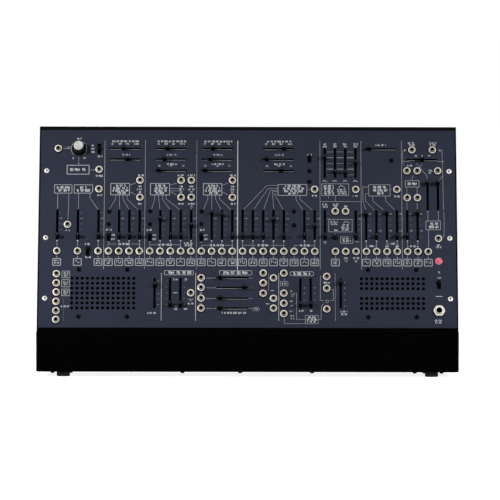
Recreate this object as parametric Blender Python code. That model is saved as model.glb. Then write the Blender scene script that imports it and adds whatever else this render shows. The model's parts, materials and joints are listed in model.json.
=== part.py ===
# Desktop semi-modular synthesizer with a sloping panel of faders and patch jacks.
# Metres, Z up, front towards -Y. The origin is on the ground under the middle of the case.

from math import cos, pi, radians, sin

import bmesh
import bpy

# Case, all folded steel sheet
CASE_DEPTH = 0.1290
CASE_MARGIN = 0.02357          # from the outer columns of controls to the case's sides
SHEET = 0.0015
SIDE_WALL = 0.0016
CHIN_HEIGHT = 0.0492
LEDGE_DEPTH = 0.0100           # how far the panel stands back from the chin
LOWER_STRIP = 0.0052           # bare sheet under the panel
TOP_LIP = 0.0046               # bare sheet over the panel
SIDE_FLANGE = 0.0144           # folded in behind the panel, for its screws
END_FLANGE = 0.0045
GAP = 0.0003                   # between pieces that touch
OVERRUN = 0.0050               # how far a cut runs past what it cuts
CASE_CORNER = 0.0012           # chamfer along the lower edges of the case's sides

# Panel, with a grid of columns
PANEL_TILT_DEGREES = 18.5
PANEL_LENGTH = 0.2575          # up the slope
PANEL_THICKNESS = 0.0015
COLUMN_PITCH = 0.01278
LAST_COLUMN = 37

# Rows of the panel, as shares of its length from the lower edge
TOP_ROW_SHARE = 0.9037
OUTPUT_ROW_SHARE = 0.8990
SECOND_ROW_SHARE = 0.8490
THIRD_ROW_SHARE = 0.7922
FILTER_SWITCH_ROW_SHARE = 0.8551
ENVELOPE_ROW_SHARE = 0.8322
PREAMP_OUT_ROW_SHARE = 0.7969
UPPER_OUT_ROW_SHARE = 0.7418
MIDDLE_OUT_ROW_SHARE = 0.6971
LOWER_OUT_ROW_SHARE = 0.6551
REVERB_ROW_SHARE = 0.6695
GATE_ROW_SHARE = 0.5856
FADER_ROW_SHARE = 0.5165
REVERB_OUT_ROW_SHARE = 0.4485
SWITCH_ROW_SHARE = 0.4544
JACK_ROW_SHARE = 0.3825
BOARD_SEAM_SHARE = 0.3515
LAMP_ROW_SHARE = 0.3355
SPEAKER_ROW_SHARE = 0.1728
POWER_ROW_SHARE = 0.2167
PHONES_ROW_SHARE = 0.0854
PROCESSOR_ROW_SHARES = (0.2485, 0.1996, 0.1460, 0.0963)
MIXER_JACK_ROW_SHARES = (0.2730, 0.2229, 0.1711)
INVERTER_JACK_ROW_SHARES = (0.2485, 0.1460, 0.0963)
SAMPLE_JACK_ROW_SHARES = (0.2726, 0.1720, 0.1212, 0.0695)
SWITCH_JACK_ROW_SHARES = (0.2563, 0.1969, 0.0928)
MULTIPLE_ROW_SHARES = (0.2676, 0.2217, 0.1755, 0.1289, 0.0827, 0.0381)

# Faders
FADER_TRAVEL = 0.0300
SLOT_WIDTH = 0.0024
SLOT_END = 0.0042              # from a cap's last place to the slot's end
TRACK_END = 0.0033             # from the slot's end to the end of the fader's track
TRACK_WIDTH = 0.0090
TRACK_DEPTH = 0.0045           # from the panel's face down to the top of the track
TRACK_GROOVE_WIDTH = 0.0018
TRACK_GROOVE_DEPTH = 0.0028
LEVER_WIDTH = 0.0012
LEVER_LENGTH = 0.0036
CAP_WIDTH = 0.0044
CAP_LENGTH = 0.0056
CAP_LIFT = 0.0010              # from the panel's face up to the cap
CAP_HEIGHT = 0.0095
CAP_SHOULDER_HEIGHT = 0.0076
CAP_TAPER_SHARE = 0.68

# Columns of the 28 faders in the main row, and the caps that stand above the lower stop
MAIN_FADER_COLUMNS = (0, 2, 4, 6, 7, 8, 10, 11, 12, 13, 15, 16, 17, 18, 19, 20, 21, 22,
                      24, 25, 26, 29, 30, 31, 32, 33, 34, 35)
MAIN_CAP_SHARES = {10: 0.73, 13: 0.45, 15: 1.0, 16: 0.90, 21: 0.70, 25: 0.43,
                   30: 0.94, 32: 1.0, 35: 1.0}

# Name, column, row and cap place of the other faders that move; columns are counted in pitches
UPRIGHT_FADER_SHARES = (
    ("attack_fader", 26, ENVELOPE_ROW_SHARE, 0.71),
    ("decay_fader", 27, ENVELOPE_ROW_SHARE, 0.07),
    ("sustain_fader", 28, ENVELOPE_ROW_SHARE, 0.05),
    ("release_fader", 29, ENVELOPE_ROW_SHARE, 0.49),
    ("reverb_left_fader", 36, REVERB_ROW_SHARE, 1.0),
    ("reverb_right_fader", 37, REVERB_ROW_SHARE, 1.0),
)
ACROSS_FADER_SHARES = (
    ("amplifier_gain_fader", 31.5, TOP_ROW_SHARE, 0.0),
    ("pan_fader", 35.5, SECOND_ROW_SHARE, 0.5),
)

# Column, row and cap place of the faders that are joined to their board
UPPER_JOINED_SHARES = (
    (6.5, TOP_ROW_SHARE, 0.45), (6.5, SECOND_ROW_SHARE, 0.60),
    (11, TOP_ROW_SHARE, 0.35), (11, SECOND_ROW_SHARE, 0.22), (11, THIRD_ROW_SHARE, 0.0),
    (15.5, TOP_ROW_SHARE, 0.32), (15.5, SECOND_ROW_SHARE, 0.23), (15.5, THIRD_ROW_SHARE, 0.0),
    (21.5, TOP_ROW_SHARE, 0.72), (21.5, SECOND_ROW_SHARE, 0.0), (21.5, THIRD_ROW_SHARE, 0.59),
)
PROCESSOR_COLUMN = 17
PROCESSOR_CAP_SHARES = (0.0, 1.0, 0.0, 0.0)
LOWER_UPRIGHT_SHARES = ((9.5, 0.83), (11, 0.0), (12, 0.0), (23.6, 0.0), (24.6, 0.0), (27.5, 0.93))

# Patch jacks: 3.5 mm sockets, a threaded bush through the panel with its nut in front
BUSH_RADIUS = 0.0030
BUSH_HOLE_RADIUS = 0.00335
NUT_RADIUS = 0.00475
NUT_HEIGHT = 0.0024
BORE_RADIUS = 0.00185
BORE_DEPTH = 0.0090
JACK_SIDES = 6

# Rows, and the columns with a jack in each of them
MAIN_JACK_COLUMNS = (0, 2) + tuple(range(4, 26)) + tuple(range(27, 37))
UPPER_JACK_SHARES = (
    ((JACK_ROW_SHARE,), MAIN_JACK_COLUMNS),
    ((TOP_ROW_SHARE,), (0,)),
    ((OUTPUT_ROW_SHARE,), (34.5, 36.5)),
    ((THIRD_ROW_SHARE,), (34, 35, 37)),
    ((PREAMP_OUT_ROW_SHARE,), (4,)),
    ((UPPER_OUT_ROW_SHARE,), (8, 12, 13, 17)),
    ((MIDDLE_OUT_ROW_SHARE,), (4, 25, 29, 33)),
    ((LOWER_OUT_ROW_SHARE,), (8, 12, 13, 17, 34, 35)),
    ((GATE_ROW_SHARE,), (27, 28)),
    ((FADER_ROW_SHARE,), (1,)),
    ((REVERB_OUT_ROW_SHARE,), (37,)),
)
LOWER_JACK_SHARES = (
    (MULTIPLE_ROW_SHARES, (0,)),
    ((SPEAKER_ROW_SHARE,), (13,)),
    (PROCESSOR_ROW_SHARES, (14,)),
    (MIXER_JACK_ROW_SHARES, (20,)),
    (INVERTER_JACK_ROW_SHARES, (21,)),
    (SAMPLE_JACK_ROW_SHARES, (22,)),
    (SWITCH_JACK_ROW_SHARES, (26.15,)),
)

# Boards behind the panel
BOARD_THICKNESS = 0.0016
BOARD_DEPTH = 0.0115           # from the panel's face down to the boards
BOARD_CLEARANCE = 0.0010       # from the boards to the case's folded flanges
FITTING_ROOT = 0.0008          # how deep a soldered fitting is sunk into its board

# Slide switches
SWITCH_KNOB_WIDTH = 0.0040
SWITCH_KNOB_LENGTH = 0.0048
SWITCH_KNOB_HEIGHT = 0.0034
SWITCH_CLEARANCE = 0.0004
SWITCH_BODY_WIDTH = 0.0072
SWITCH_BODY_END = 0.0012
SWITCH_DEPTH = 0.0050          # from the panel's face down to the switch's body
SHORT_THROW = 0.0048
LONG_THROW = 0.0080
COUPLING_THROW = 0.0060
POWER_THROW = 0.0056

# Name, column, row, throw and where along it the knob stands
UPPER_SWITCH_SHARES = (
    ("preamp_range_switch", 4, TOP_ROW_SHARE, LONG_THROW, 0.5),
    ("filter_mode_switch", 24.5, FILTER_SWITCH_ROW_SHARE, SHORT_THROW, 1.0),
    ("oscillator_1_range_switch", 5, SWITCH_ROW_SHARE, SHORT_THROW, 1.0),
    ("oscillator_2_range_switch", 9, SWITCH_ROW_SHARE, SHORT_THROW, 1.0),
    ("oscillator_3_range_switch", 14, SWITCH_ROW_SHARE, SHORT_THROW, 1.0),
    ("coupling_switch", 3, JACK_ROW_SHARE, COUPLING_THROW, 1.0),
)
LOWER_SWITCH_SHARES = (("power_switch", 37, POWER_ROW_SHARE, POWER_THROW, 1.0),)

# Start button
BUTTON_COLUMN = 27
BUTTON_RADIUS = 0.00275
BUTTON_HOLE_RADIUS = 0.00315
BUTTON_HEIGHT = 0.0042
BUTTON_EDGE = 0.0006
BUTTON_TRAVEL = 0.0015
BUTTON_FOOT_DEPTH = 0.0062
BUTTON_SIDES = 12

# Gain knob
KNOB_COLUMN = 2
SHAFT_RADIUS = 0.0030
SHAFT_HOLE_RADIUS = 0.00335
SKIRT_RADIUS = 0.0088
SKIRT_HEIGHT = 0.0040
SKIRT_EDGE = 0.0010
KNOB_RADIUS = 0.0061
KNOB_HEIGHT = 0.0140
KNOB_EDGE = 0.0006
KNOB_LIFT = 0.0008
POT_WIDTH = 0.0120
POT_DEPTH = 0.0050
KNOB_SIDES = 20

# Power lamp
LAMP_RADIUS = 0.0029
LAMP_HOLE_RADIUS = 0.0033
LAMP_WALL_HEIGHT = 0.0008
LAMP_HEIGHT = 0.0028
LAMP_SIDES = 12

# Headphone socket, 6.3 mm
PHONES_BODY_WIDTH = 0.0144
PHONES_BODY_DEPTH = 0.0260
PHONES_COLLAR_RADIUS = 0.0048
PHONES_HOLE_RADIUS = 0.0052
PHONES_NUT_RADIUS = 0.0067
PHONES_NUT_HEIGHT = 0.0030
PHONES_BORE_RADIUS = 0.0036
PHONES_BORE_DEPTH = 0.0220
PHONES_NOTCH = 0.0160
PHONES_SIDES = 16

# Speakers and their grilles
SPEAKER_COLUMN_SHARES = (4.5, 32.5)
SPEAKER_FRAME = 0.0660
SPEAKER_FRAME_THICKNESS = 0.0030
SPEAKER_RIM_RADIUS = 0.0260
SPEAKER_BASKET_RADIUS = 0.0255
SPEAKER_NECK_RADIUS = 0.0170
SPEAKER_MAGNET_RADIUS = 0.0150
SPEAKER_NECK_DEPTH = 0.0200
SPEAKER_DEPTH = 0.0270
SPEAKER_ROLL = 0.0018
CONE_NECK_RADIUS = 0.0080
CONE_DEPTH = 0.0110
DUST_CAP_RADIUS = 0.0045
DUST_CAP_RISE = 0.0016
SPEAKER_CUTOUT = 0.0500
SPEAKER_SIDES = 16
GRILLE_HOLE_RADIUS = 0.00168
GRILLE_PITCH = 0.00638
GRILLE_COLUMNS = 13
GRILLE_ROWS = 7
GRILLE_SIDES = 6

# Rear sockets on their board
SOCKET_PROUD = 0.0024          # how far the output nuts stand out of the case's back
REAR_ROW_HEIGHT = 0.0450       # of the sockets' middles above the ground
REAR_BOARD_DEPTH = 0.0140
REAR_BOARD_HEIGHT = 0.0260
REAR_BOARD_MARGIN = 0.0160
SOCKET_CLEARANCE = 0.0003
SOCKET_RECESS = 0.0003
OUTPUT_SIDES = (0.1700, 0.1450)   # from a socket's middle to the case's side
OUTPUT_BODY_WIDTH = 0.0144
OUTPUT_COLLAR_RADIUS = 0.0046
OUTPUT_NUT_RADIUS = 0.0064
OUTPUT_BORE_RADIUS = 0.0033
OUTPUT_BORE_DEPTH = 0.0110
DATA_SIDE = 0.1100
DATA_RADIUS = 0.0088
DATA_BORE_RADIUS = 0.0068
DATA_BORE_DEPTH = 0.0062
COMPUTER_SIDE = 0.0800
COMPUTER_WIDTH = 0.0120
COMPUTER_HEIGHT = 0.0110
COMPUTER_WALL = 0.0018
COMPUTER_BORE_DEPTH = 0.0090
INLET_SIDE = 0.0500
INLET_WIDTH = 0.0098
INLET_HEIGHT = 0.0112
INLET_BORE_RADIUS = 0.0033
INLET_BORE_DEPTH = 0.0095
SOCKET_SIDES = 16
INLET_SIDES = 8

# Ribbon cable between the boards
RIBBON_PLACE = -0.0500
RIBBON_WIDTH = 0.0320
RIBBON_THICKNESS = 0.0012
RIBBON_REACH = 0.0120          # up and down from the seam between the boards
RIBBON_STAND = 0.0080

# Feet
FOOT_HEIGHT = 0.0060
FOOT_RADIUS = 0.0082
FOOT_SOLE_RADIUS = 0.0072
FOOT_EDGE = 0.0010
FOOT_SIDE = 0.0330             # from a foot's middle to the case's side
FOOT_END = 0.0150              # from a foot's middle to the case's front or back
FOOT_SIDES = 16

# Finishes: colour, roughness, metallic
BLACK_PAINT = ((0.012, 0.012, 0.014), 0.45, 0.2)
PANEL_PAINT = ((0.030, 0.036, 0.052), 0.5, 0.1)
BOARD_RESIN = ((0.020, 0.090, 0.050), 0.5, 0.0)
BLACK_PLASTIC = ((0.015, 0.015, 0.016), 0.4, 0.0)
KNOB_METAL = ((0.550, 0.550, 0.560), 0.3, 0.9)
NICKEL = ((0.620, 0.580, 0.500), 0.25, 1.0)
RED_LENS = ((0.750, 0.030, 0.080), 0.2, 0.0)
SPEAKER_PAPER = ((0.020, 0.020, 0.020), 0.8, 0.0)
RIBBON_SKIN = ((0.350, 0.350, 0.360), 0.6, 0.0)
RUBBER = ((0.020, 0.020, 0.020), 0.85, 0.0)

# Worked out from the sizes above
TILT = radians(PANEL_TILT_DEGREES)
CASE_WIDTH = LAST_COLUMN * COLUMN_PITCH + 2 * CASE_MARGIN
SLOT_LENGTH = FADER_TRAVEL + 2 * SLOT_END
TRACK_LENGTH = SLOT_LENGTH + 2 * TRACK_END
FRONT_Y = -CASE_DEPTH / 2
BACK_Y = CASE_DEPTH / 2 - SOCKET_PROUD
CHIN_TOP = FOOT_HEIGHT + CHIN_HEIGHT
STRIP_Y = FRONT_Y + LEDGE_DEPTH
PANEL_Y = STRIP_Y + LOWER_STRIP * sin(TILT)
PANEL_Z = CHIN_TOP + LOWER_STRIP * cos(TILT)
TOP_Z = PANEL_Z + (PANEL_LENGTH + TOP_LIP) * cos(TILT)
RECESS_DEPTH = PANEL_THICKNESS + GAP
FLANGE_BACK = RECESS_DEPTH + SHEET
INNER_HALF = CASE_WIDTH / 2 - SIDE_WALL
WINDOW_HALF = INNER_HALF - SIDE_FLANGE
BOARD_HALF = WINDOW_HALF - BOARD_CLEARANCE
OUTPUT_PLACES = tuple(side - CASE_WIDTH / 2 for side in OUTPUT_SIDES)
DATA_PLACE = DATA_SIDE - CASE_WIDTH / 2
COMPUTER_PLACE = COMPUTER_SIDE - CASE_WIDTH / 2
INLET_PLACE = INLET_SIDE - CASE_WIDTH / 2


def clear_scene():
    for item in list(bpy.data.objects):
        bpy.data.objects.remove(item, do_unlink=True)


def column_x(column):
    return (column - LAST_COLUMN / 2) * COLUMN_PITCH


def row_y(share):
    return share * PANEL_LENGTH


def side_point(slope, out):
    """Place in the YZ plane of a point on the panel, by its way up the slope and out of the face."""
    return (PANEL_Y + slope * sin(TILT) - out * cos(TILT),
            PANEL_Z + slope * cos(TILT) + out * sin(TILT))


# Rings and stacks: every turned or stepped shape is a stack of rings with equal counts of points

def circle_ring(radius, height, sides, middle=(0, 0)):
    step = 2 * pi / sides
    return [(middle[0] + radius * cos(i * step), middle[1] + radius * sin(i * step), height)
            for i in range(sides)]


def square_ring(width, length, height, sides, middle=(0, 0)):
    """Points on a rectangle at the same angles as a circle's points."""
    points = []
    for i in range(sides):
        across, along = cos(2 * pi * i / sides), sin(2 * pi * i / sides)
        reach = 2 * max(abs(across), abs(along))
        points.append((middle[0] + width * across / reach, middle[1] + length * along / reach, height))
    return points


def rectangle_ring(width, length, height, middle=(0, 0)):
    corners = ((-1, -1), (1, -1), (1, 1), (-1, 1))
    return [(middle[0] + a * width / 2, middle[1] + b * length / 2, height) for a, b in corners]


def add_stack(mesh, rings):
    levels = [[mesh.verts.new(point) for point in ring] for ring in rings]
    mesh.faces.new(list(reversed(levels[0])))
    for low, high in zip(levels, levels[1:]):
        for i in range(len(low)):
            j = (i + 1) % len(low)
            mesh.faces.new((low[i], low[j], high[j], high[i]))
    mesh.faces.new(levels[-1])


def add_box(mesh, low, high):
    middle = ((low[0] + high[0]) / 2, (low[1] + high[1]) / 2)
    size = (high[0] - low[0], high[1] - low[1])
    add_stack(mesh, [rectangle_ring(*size, low[2], middle), rectangle_ring(*size, high[2], middle)])


def add_side_outline(mesh, outline, half_width):
    """An outline in the YZ plane, carried from one side of the case to the other."""
    add_stack(mesh, [[(x, y, z) for y, z in outline] for x in (-half_width, half_width)])


# Objects, materials and cuts

def make_material(name, colour, roughness, metallic):
    material = bpy.data.materials.new(name)
    material.use_nodes = True
    shader = material.node_tree.nodes["Principled BSDF"]
    shader.inputs["Base Color"].default_value = (*colour, 1)
    shader.inputs["Roughness"].default_value = roughness
    shader.inputs["Metallic"].default_value = metallic
    return material


def make_object(name, mesh, finish, parent=None, place=(0, 0, 0), smooth=False):
    bmesh.ops.recalc_face_normals(mesh, faces=mesh.faces)
    data = bpy.data.meshes.new(name)
    mesh.to_mesh(data)
    mesh.free()
    if smooth:
        data.shade_smooth()
        data.set_sharp_from_angle(angle=radians(35))
    if finish:
        data.materials.append(make_material(name, *finish))
    item = bpy.data.objects.new(name, data)
    bpy.context.scene.collection.objects.link(item)
    item.parent = parent
    item.location = place
    return item


def make_frame(name, place, turn):
    frame = bpy.data.objects.new(name, None)
    bpy.context.scene.collection.objects.link(frame)
    frame.location = place
    frame.rotation_euler = turn
    return frame


def combine(item, mesh, operation, parent=None):
    """Cuts a mesh out of an object, or joins it on, with a Boolean and a hidden helper."""
    helper = make_object(f"{item.name}_{operation.lower()}_{len(item.modifiers)}", mesh, None, parent)
    helper.hide_render = True
    helper.display_type = "WIRE"
    step = item.modifiers.new(operation.title(), "BOOLEAN")
    step.operation = operation
    step.solver = "EXACT"
    step.object = helper


# Case

def add_rear_hole(mesh, place, radius):
    add_stack(mesh, [circle_ring(radius, height, SOCKET_SIDES, (place, 0))
                     for height in (-SHEET - OVERRUN, OVERRUN)])


def make_rear_case(panel_frame, rear_frame, finish):
    top_front = side_point(PANEL_LENGTH + TOP_LIP, 0)
    outline = [(FRONT_Y, FOOT_HEIGHT), (FRONT_Y, CHIN_TOP), (STRIP_Y, CHIN_TOP), top_front,
               (BACK_Y, TOP_Z), (BACK_Y, FOOT_HEIGHT)]
    raised = [(y, z + CASE_CORNER if z == FOOT_HEIGHT else z) for y, z in outline]
    half = CASE_WIDTH / 2
    sections = ((raised, -half), (outline, CASE_CORNER - half),
                (outline, half - CASE_CORNER), (raised, half))
    mesh = bmesh.new()
    add_stack(mesh, [[(x, y, z) for y, z in section] for section, x in sections])
    case = make_object("rear_case", mesh, finish)

    # The hollow: open in front of the tray and below, and closed by back, top and sides
    inner_back, inner_top = BACK_Y - SHEET, TOP_Z - SHEET
    flange_top = (inner_top - PANEL_Z + FLANGE_BACK * sin(TILT)) / cos(TILT)
    low = side_point(-GAP, OVERRUN)
    hollow = [(inner_back, FOOT_HEIGHT - OVERRUN), (inner_back, inner_top),
              side_point(flange_top, -FLANGE_BACK), side_point(-GAP, -FLANGE_BACK),
              low, (FRONT_Y - OVERRUN, low[1]), (FRONT_Y - OVERRUN, FOOT_HEIGHT - OVERRUN)]
    mesh = bmesh.new()
    add_side_outline(mesh, hollow, INNER_HALF)
    combine(case, mesh, "DIFFERENCE")

    # The seat for the panel, and the window inside the folded flanges
    mesh = bmesh.new()
    add_box(mesh, (-INNER_HALF, -OVERRUN, -RECESS_DEPTH), (INNER_HALF, PANEL_LENGTH + GAP, OVERRUN))
    combine(case, mesh, "DIFFERENCE", panel_frame)
    mesh = bmesh.new()
    add_box(mesh, (-WINDOW_HALF, -OVERRUN, -FLANGE_BACK - OVERRUN),
            (WINDOW_HALF, PANEL_LENGTH - END_FLANGE, OVERRUN))
    combine(case, mesh, "DIFFERENCE", panel_frame)

    # Holes for the rear sockets
    mesh = bmesh.new()
    for place in OUTPUT_PLACES:
        add_rear_hole(mesh, place, OUTPUT_COLLAR_RADIUS + SOCKET_CLEARANCE)
    add_rear_hole(mesh, DATA_PLACE, DATA_RADIUS + SOCKET_CLEARANCE)
    for place, width, height in ((COMPUTER_PLACE, COMPUTER_WIDTH, COMPUTER_HEIGHT),
                                 (INLET_PLACE, INLET_WIDTH, INLET_HEIGHT)):
        half_x, half_y = width / 2 + SOCKET_CLEARANCE, height / 2 + SOCKET_CLEARANCE
        add_box(mesh, (place - half_x, -half_y, -SHEET - OVERRUN), (place + half_x, half_y, OVERRUN))
    combine(case, mesh, "DIFFERENCE", rear_frame)
    return case


def make_base_tray(panel_frame, finish):
    """Bottom, chin, ledge, strip and the flange behind the panel's lower edge, as one folded sheet."""
    inner_z = FOOT_HEIGHT + SHEET
    ledge_under = CHIN_TOP - SHEET
    strip_foot = (FLANGE_BACK * sin(TILT) - SHEET) / cos(TILT) - LOWER_STRIP
    outline = [(FRONT_Y, FOOT_HEIGHT), (BACK_Y - SHEET - GAP, FOOT_HEIGHT),
               (BACK_Y - SHEET - GAP, inner_z), (FRONT_Y + SHEET, inner_z),
               (FRONT_Y + SHEET, ledge_under), (side_point(strip_foot, -FLANGE_BACK)[0], ledge_under),
               side_point(END_FLANGE, -FLANGE_BACK), side_point(END_FLANGE, -RECESS_DEPTH),
               side_point(-GAP, -RECESS_DEPTH), side_point(-GAP, 0),
               (STRIP_Y, CHIN_TOP), (FRONT_Y, CHIN_TOP)]
    mesh = bmesh.new()
    add_side_outline(mesh, outline, INNER_HALF - GAP)
    tray = make_object("base_tray", mesh, finish)

    # The ends of the flange leave room for the case's side flanges
    mesh = bmesh.new()
    for side in (-1, 1):
        near, far = sorted((side * (WINDOW_HALF - GAP), side * (INNER_HALF + OVERRUN)))
        add_box(mesh, (near, -2 * GAP, -FLANGE_BACK - OVERRUN),
                (far, END_FLANGE + OVERRUN, -RECESS_DEPTH + GAP))
    combine(tray, mesh, "DIFFERENCE", panel_frame)
    return tray


def make_feet(finish):
    half_x = CASE_WIDTH / 2 - FOOT_SIDE
    for end, y in (("front", FRONT_Y + FOOT_END), ("rear", BACK_Y - FOOT_END)):
        for side, x in (("left", -half_x), ("right", half_x)):
            mesh = bmesh.new()
            add_stack(mesh, [circle_ring(FOOT_SOLE_RADIUS, 0, FOOT_SIDES),
                             circle_ring(FOOT_RADIUS, FOOT_EDGE, FOOT_SIDES),
                             circle_ring(FOOT_RADIUS, FOOT_HEIGHT - GAP, FOOT_SIDES)])
            make_object(f"foot_{end}_{side}", mesh, finish, None, (x, y, 0), smooth=True)


# Panel

def fader_places():
    """Name or None, column, row share, whether upright, and cap share of every fader."""
    places = [(f"main_fader_{column:02d}", column, FADER_ROW_SHARE, True, MAIN_CAP_SHARES.get(column, 0))
              for column in MAIN_FADER_COLUMNS]
    places += [(name, column, row, True, share) for name, column, row, share in UPRIGHT_FADER_SHARES]
    places += [(name, column, row, False, share) for name, column, row, share in ACROSS_FADER_SHARES]
    places += [(None, column, row, False, share) for column, row, share in UPPER_JOINED_SHARES]
    places += [(None, PROCESSOR_COLUMN, row, False, share)
               for row, share in zip(PROCESSOR_ROW_SHARES, PROCESSOR_CAP_SHARES)]
    places += [(None, column, SPEAKER_ROW_SHARE, True, share) for column, share in LOWER_UPRIGHT_SHARES]
    return places


def turned(upright, width, length):
    """Width and length of something in the direction that a fader lies."""
    return (width, length) if upright else (length, width)


def circle_hole(radius, sides, height, middle):
    return circle_ring(radius, height, sides, middle)


def add_through(mesh, ring, size, middle):
    add_stack(mesh, [ring(*size, height, middle) for height in (-PANEL_THICKNESS - OVERRUN, OVERRUN)])


def add_grille(mesh, middle_x, middle_y, bare_row):
    for row in range(GRILLE_ROWS):
        if row == bare_row:
            continue
        for column in range(GRILLE_COLUMNS):
            x = middle_x + (column - (GRILLE_COLUMNS - 1) / 2) * GRILLE_PITCH
            y = middle_y + (row - (GRILLE_ROWS - 1) / 2) * GRILLE_PITCH
            add_through(mesh, circle_hole, (GRILLE_HOLE_RADIUS, GRILLE_SIDES), (x, y))


def make_front_panel(panel_frame, finish):
    mesh = bmesh.new()
    half = INNER_HALF - GAP
    add_box(mesh, (-half, 0, -PANEL_THICKNESS), (half, PANEL_LENGTH, 0))
    panel = make_object("front_panel", mesh, finish, panel_frame)

    holes = bmesh.new()
    for _, column, row, upright, _ in fader_places():
        size = turned(upright, SLOT_WIDTH, SLOT_LENGTH)
        add_through(holes, rectangle_ring, size, (column_x(column), row_y(row)))
    for middle in jack_places(UPPER_JACK_SHARES + LOWER_JACK_SHARES):
        add_through(holes, circle_hole, (BUSH_HOLE_RADIUS, JACK_SIDES), middle)
    for _, column, row, throw, _ in UPPER_SWITCH_SHARES + LOWER_SWITCH_SHARES:
        size = (SWITCH_KNOB_WIDTH + 2 * SWITCH_CLEARANCE,
                SWITCH_KNOB_LENGTH + throw + 2 * SWITCH_CLEARANCE)
        add_through(holes, rectangle_ring, size, (column_x(column), row_y(row)))
    for column, row, radius, sides in (
            (KNOB_COLUMN, TOP_ROW_SHARE, SHAFT_HOLE_RADIUS, KNOB_SIDES),
            (BUTTON_COLUMN, SWITCH_ROW_SHARE, BUTTON_HOLE_RADIUS, BUTTON_SIDES),
            (LAST_COLUMN, LAMP_ROW_SHARE, LAMP_HOLE_RADIUS, LAMP_SIDES),
            (LAST_COLUMN, PHONES_ROW_SHARE, PHONES_HOLE_RADIUS, PHONES_SIDES)):
        add_through(holes, circle_hole, (radius, sides), (column_x(column), row_y(row)))
    for bare_row, column in zip((None, GRILLE_ROWS // 2), SPEAKER_COLUMN_SHARES):
        add_grille(holes, column_x(column), row_y(SPEAKER_ROW_SHARE), bare_row)
    combine(panel, holes, "DIFFERENCE", panel_frame)
    return panel


# What is soldered to the boards

def jack_places(shares):
    return [(column_x(column), row_y(row))
            for rows, columns in shares for row in rows for column in columns]


def add_jack(mesh, middle):
    base = -BOARD_DEPTH - FITTING_ROOT
    steps = ((BUSH_RADIUS, base), (BUSH_RADIUS, GAP), (NUT_RADIUS, GAP), (NUT_RADIUS, GAP + NUT_HEIGHT),
             (BORE_RADIUS, GAP + NUT_HEIGHT), (BORE_RADIUS, GAP + NUT_HEIGHT - BORE_DEPTH))
    add_stack(mesh, [circle_ring(radius, height, JACK_SIDES, middle) for radius, height in steps])


def cap_rings(upright, middle):
    """The fader's cap from its underside up, on rings of four points."""
    full = turned(upright, CAP_WIDTH, CAP_LENGTH)
    slim = [CAP_TAPER_SHARE * size for size in full]
    shoulder = [(1 + CAP_TAPER_SHARE) / 2 * size for size in full]
    return [rectangle_ring(*full, CAP_LIFT, middle),
            rectangle_ring(*shoulder, CAP_LIFT + CAP_SHOULDER_HEIGHT, middle),
            rectangle_ring(*slim, CAP_LIFT + CAP_HEIGHT, middle)]


def lever_rings(upright, foot, middle):
    size = turned(upright, LEVER_WIDTH, LEVER_LENGTH)
    return [rectangle_ring(*size, foot, middle), rectangle_ring(*size, CAP_LIFT, middle)]


def cap_place(column, row, upright, share):
    shift = (share - 1 / 2) * FADER_TRAVEL
    x, y = column_x(column), row_y(row)
    return (x, y + shift) if upright else (x + shift, y)


def add_track(mesh, column, row, upright, share, joined):
    """A fader's track: with a groove for a lever that moves, or with its lever and cap joined on."""
    middle = (column_x(column), row_y(row))
    body = turned(upright, TRACK_WIDTH, TRACK_LENGTH)
    rings = [rectangle_ring(*body, -BOARD_DEPTH - FITTING_ROOT, middle),
             rectangle_ring(*body, -TRACK_DEPTH, middle)]
    if joined:
        cap_middle = cap_place(column, row, upright, share)
        rings += lever_rings(upright, -TRACK_DEPTH, cap_middle) + cap_rings(upright, cap_middle)
    else:
        groove = turned(upright, TRACK_GROOVE_WIDTH, SLOT_LENGTH)
        rings += [rectangle_ring(*groove, -TRACK_DEPTH, middle),
                  rectangle_ring(*groove, -TRACK_DEPTH - TRACK_GROOVE_DEPTH, middle)]
    add_stack(mesh, rings)


def add_switch_body(mesh, column, row, throw):
    size = (SWITCH_BODY_WIDTH, SWITCH_KNOB_LENGTH + throw + 2 * SWITCH_BODY_END)
    middle = (column_x(column), row_y(row))
    add_stack(mesh, [rectangle_ring(*size, -BOARD_DEPTH - FITTING_ROOT, middle),
                     rectangle_ring(*size, -SWITCH_DEPTH, middle)])


def make_board(name, low_y, high_y, jacks, places, switches, extra, panel_frame, finish):
    mesh = bmesh.new()
    add_box(mesh, (-BOARD_HALF, low_y, -BOARD_DEPTH - BOARD_THICKNESS), (BOARD_HALF, high_y, -BOARD_DEPTH))
    board = make_object(name, mesh, finish, panel_frame)
    fittings = bmesh.new()
    for middle in jack_places(jacks):
        add_jack(fittings, middle)
    for fader, column, row, upright, share in places:
        add_track(fittings, column, row, upright, share, fader is None)
    for _, column, row, throw, _ in switches:
        add_switch_body(fittings, column, row, throw)
    for width, column, row, depth in extra:
        middle = (column_x(column), row_y(row))
        add_stack(fittings, [rectangle_ring(width, width, height, middle)
                             for height in (-BOARD_DEPTH - FITTING_ROOT, -depth)])
    combine(board, fittings, "UNION", panel_frame)
    return board


def make_upper_board(panel_frame, finish):
    places = [place for place in fader_places() if place[2] > BOARD_SEAM_SHARE]
    button_depth = BUTTON_FOOT_DEPTH + BUTTON_TRAVEL + GAP
    extra = ((POT_WIDTH, KNOB_COLUMN, TOP_ROW_SHARE, POT_DEPTH),
             (2 * BUTTON_RADIUS, BUTTON_COLUMN, SWITCH_ROW_SHARE, button_depth))
    low_y, high_y = row_y(BOARD_SEAM_SHARE) + GAP, PANEL_LENGTH - END_FLANGE - BOARD_CLEARANCE
    return make_board("upper_board", low_y, high_y, UPPER_JACK_SHARES, places, UPPER_SWITCH_SHARES,
                      extra, panel_frame, finish)


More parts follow.
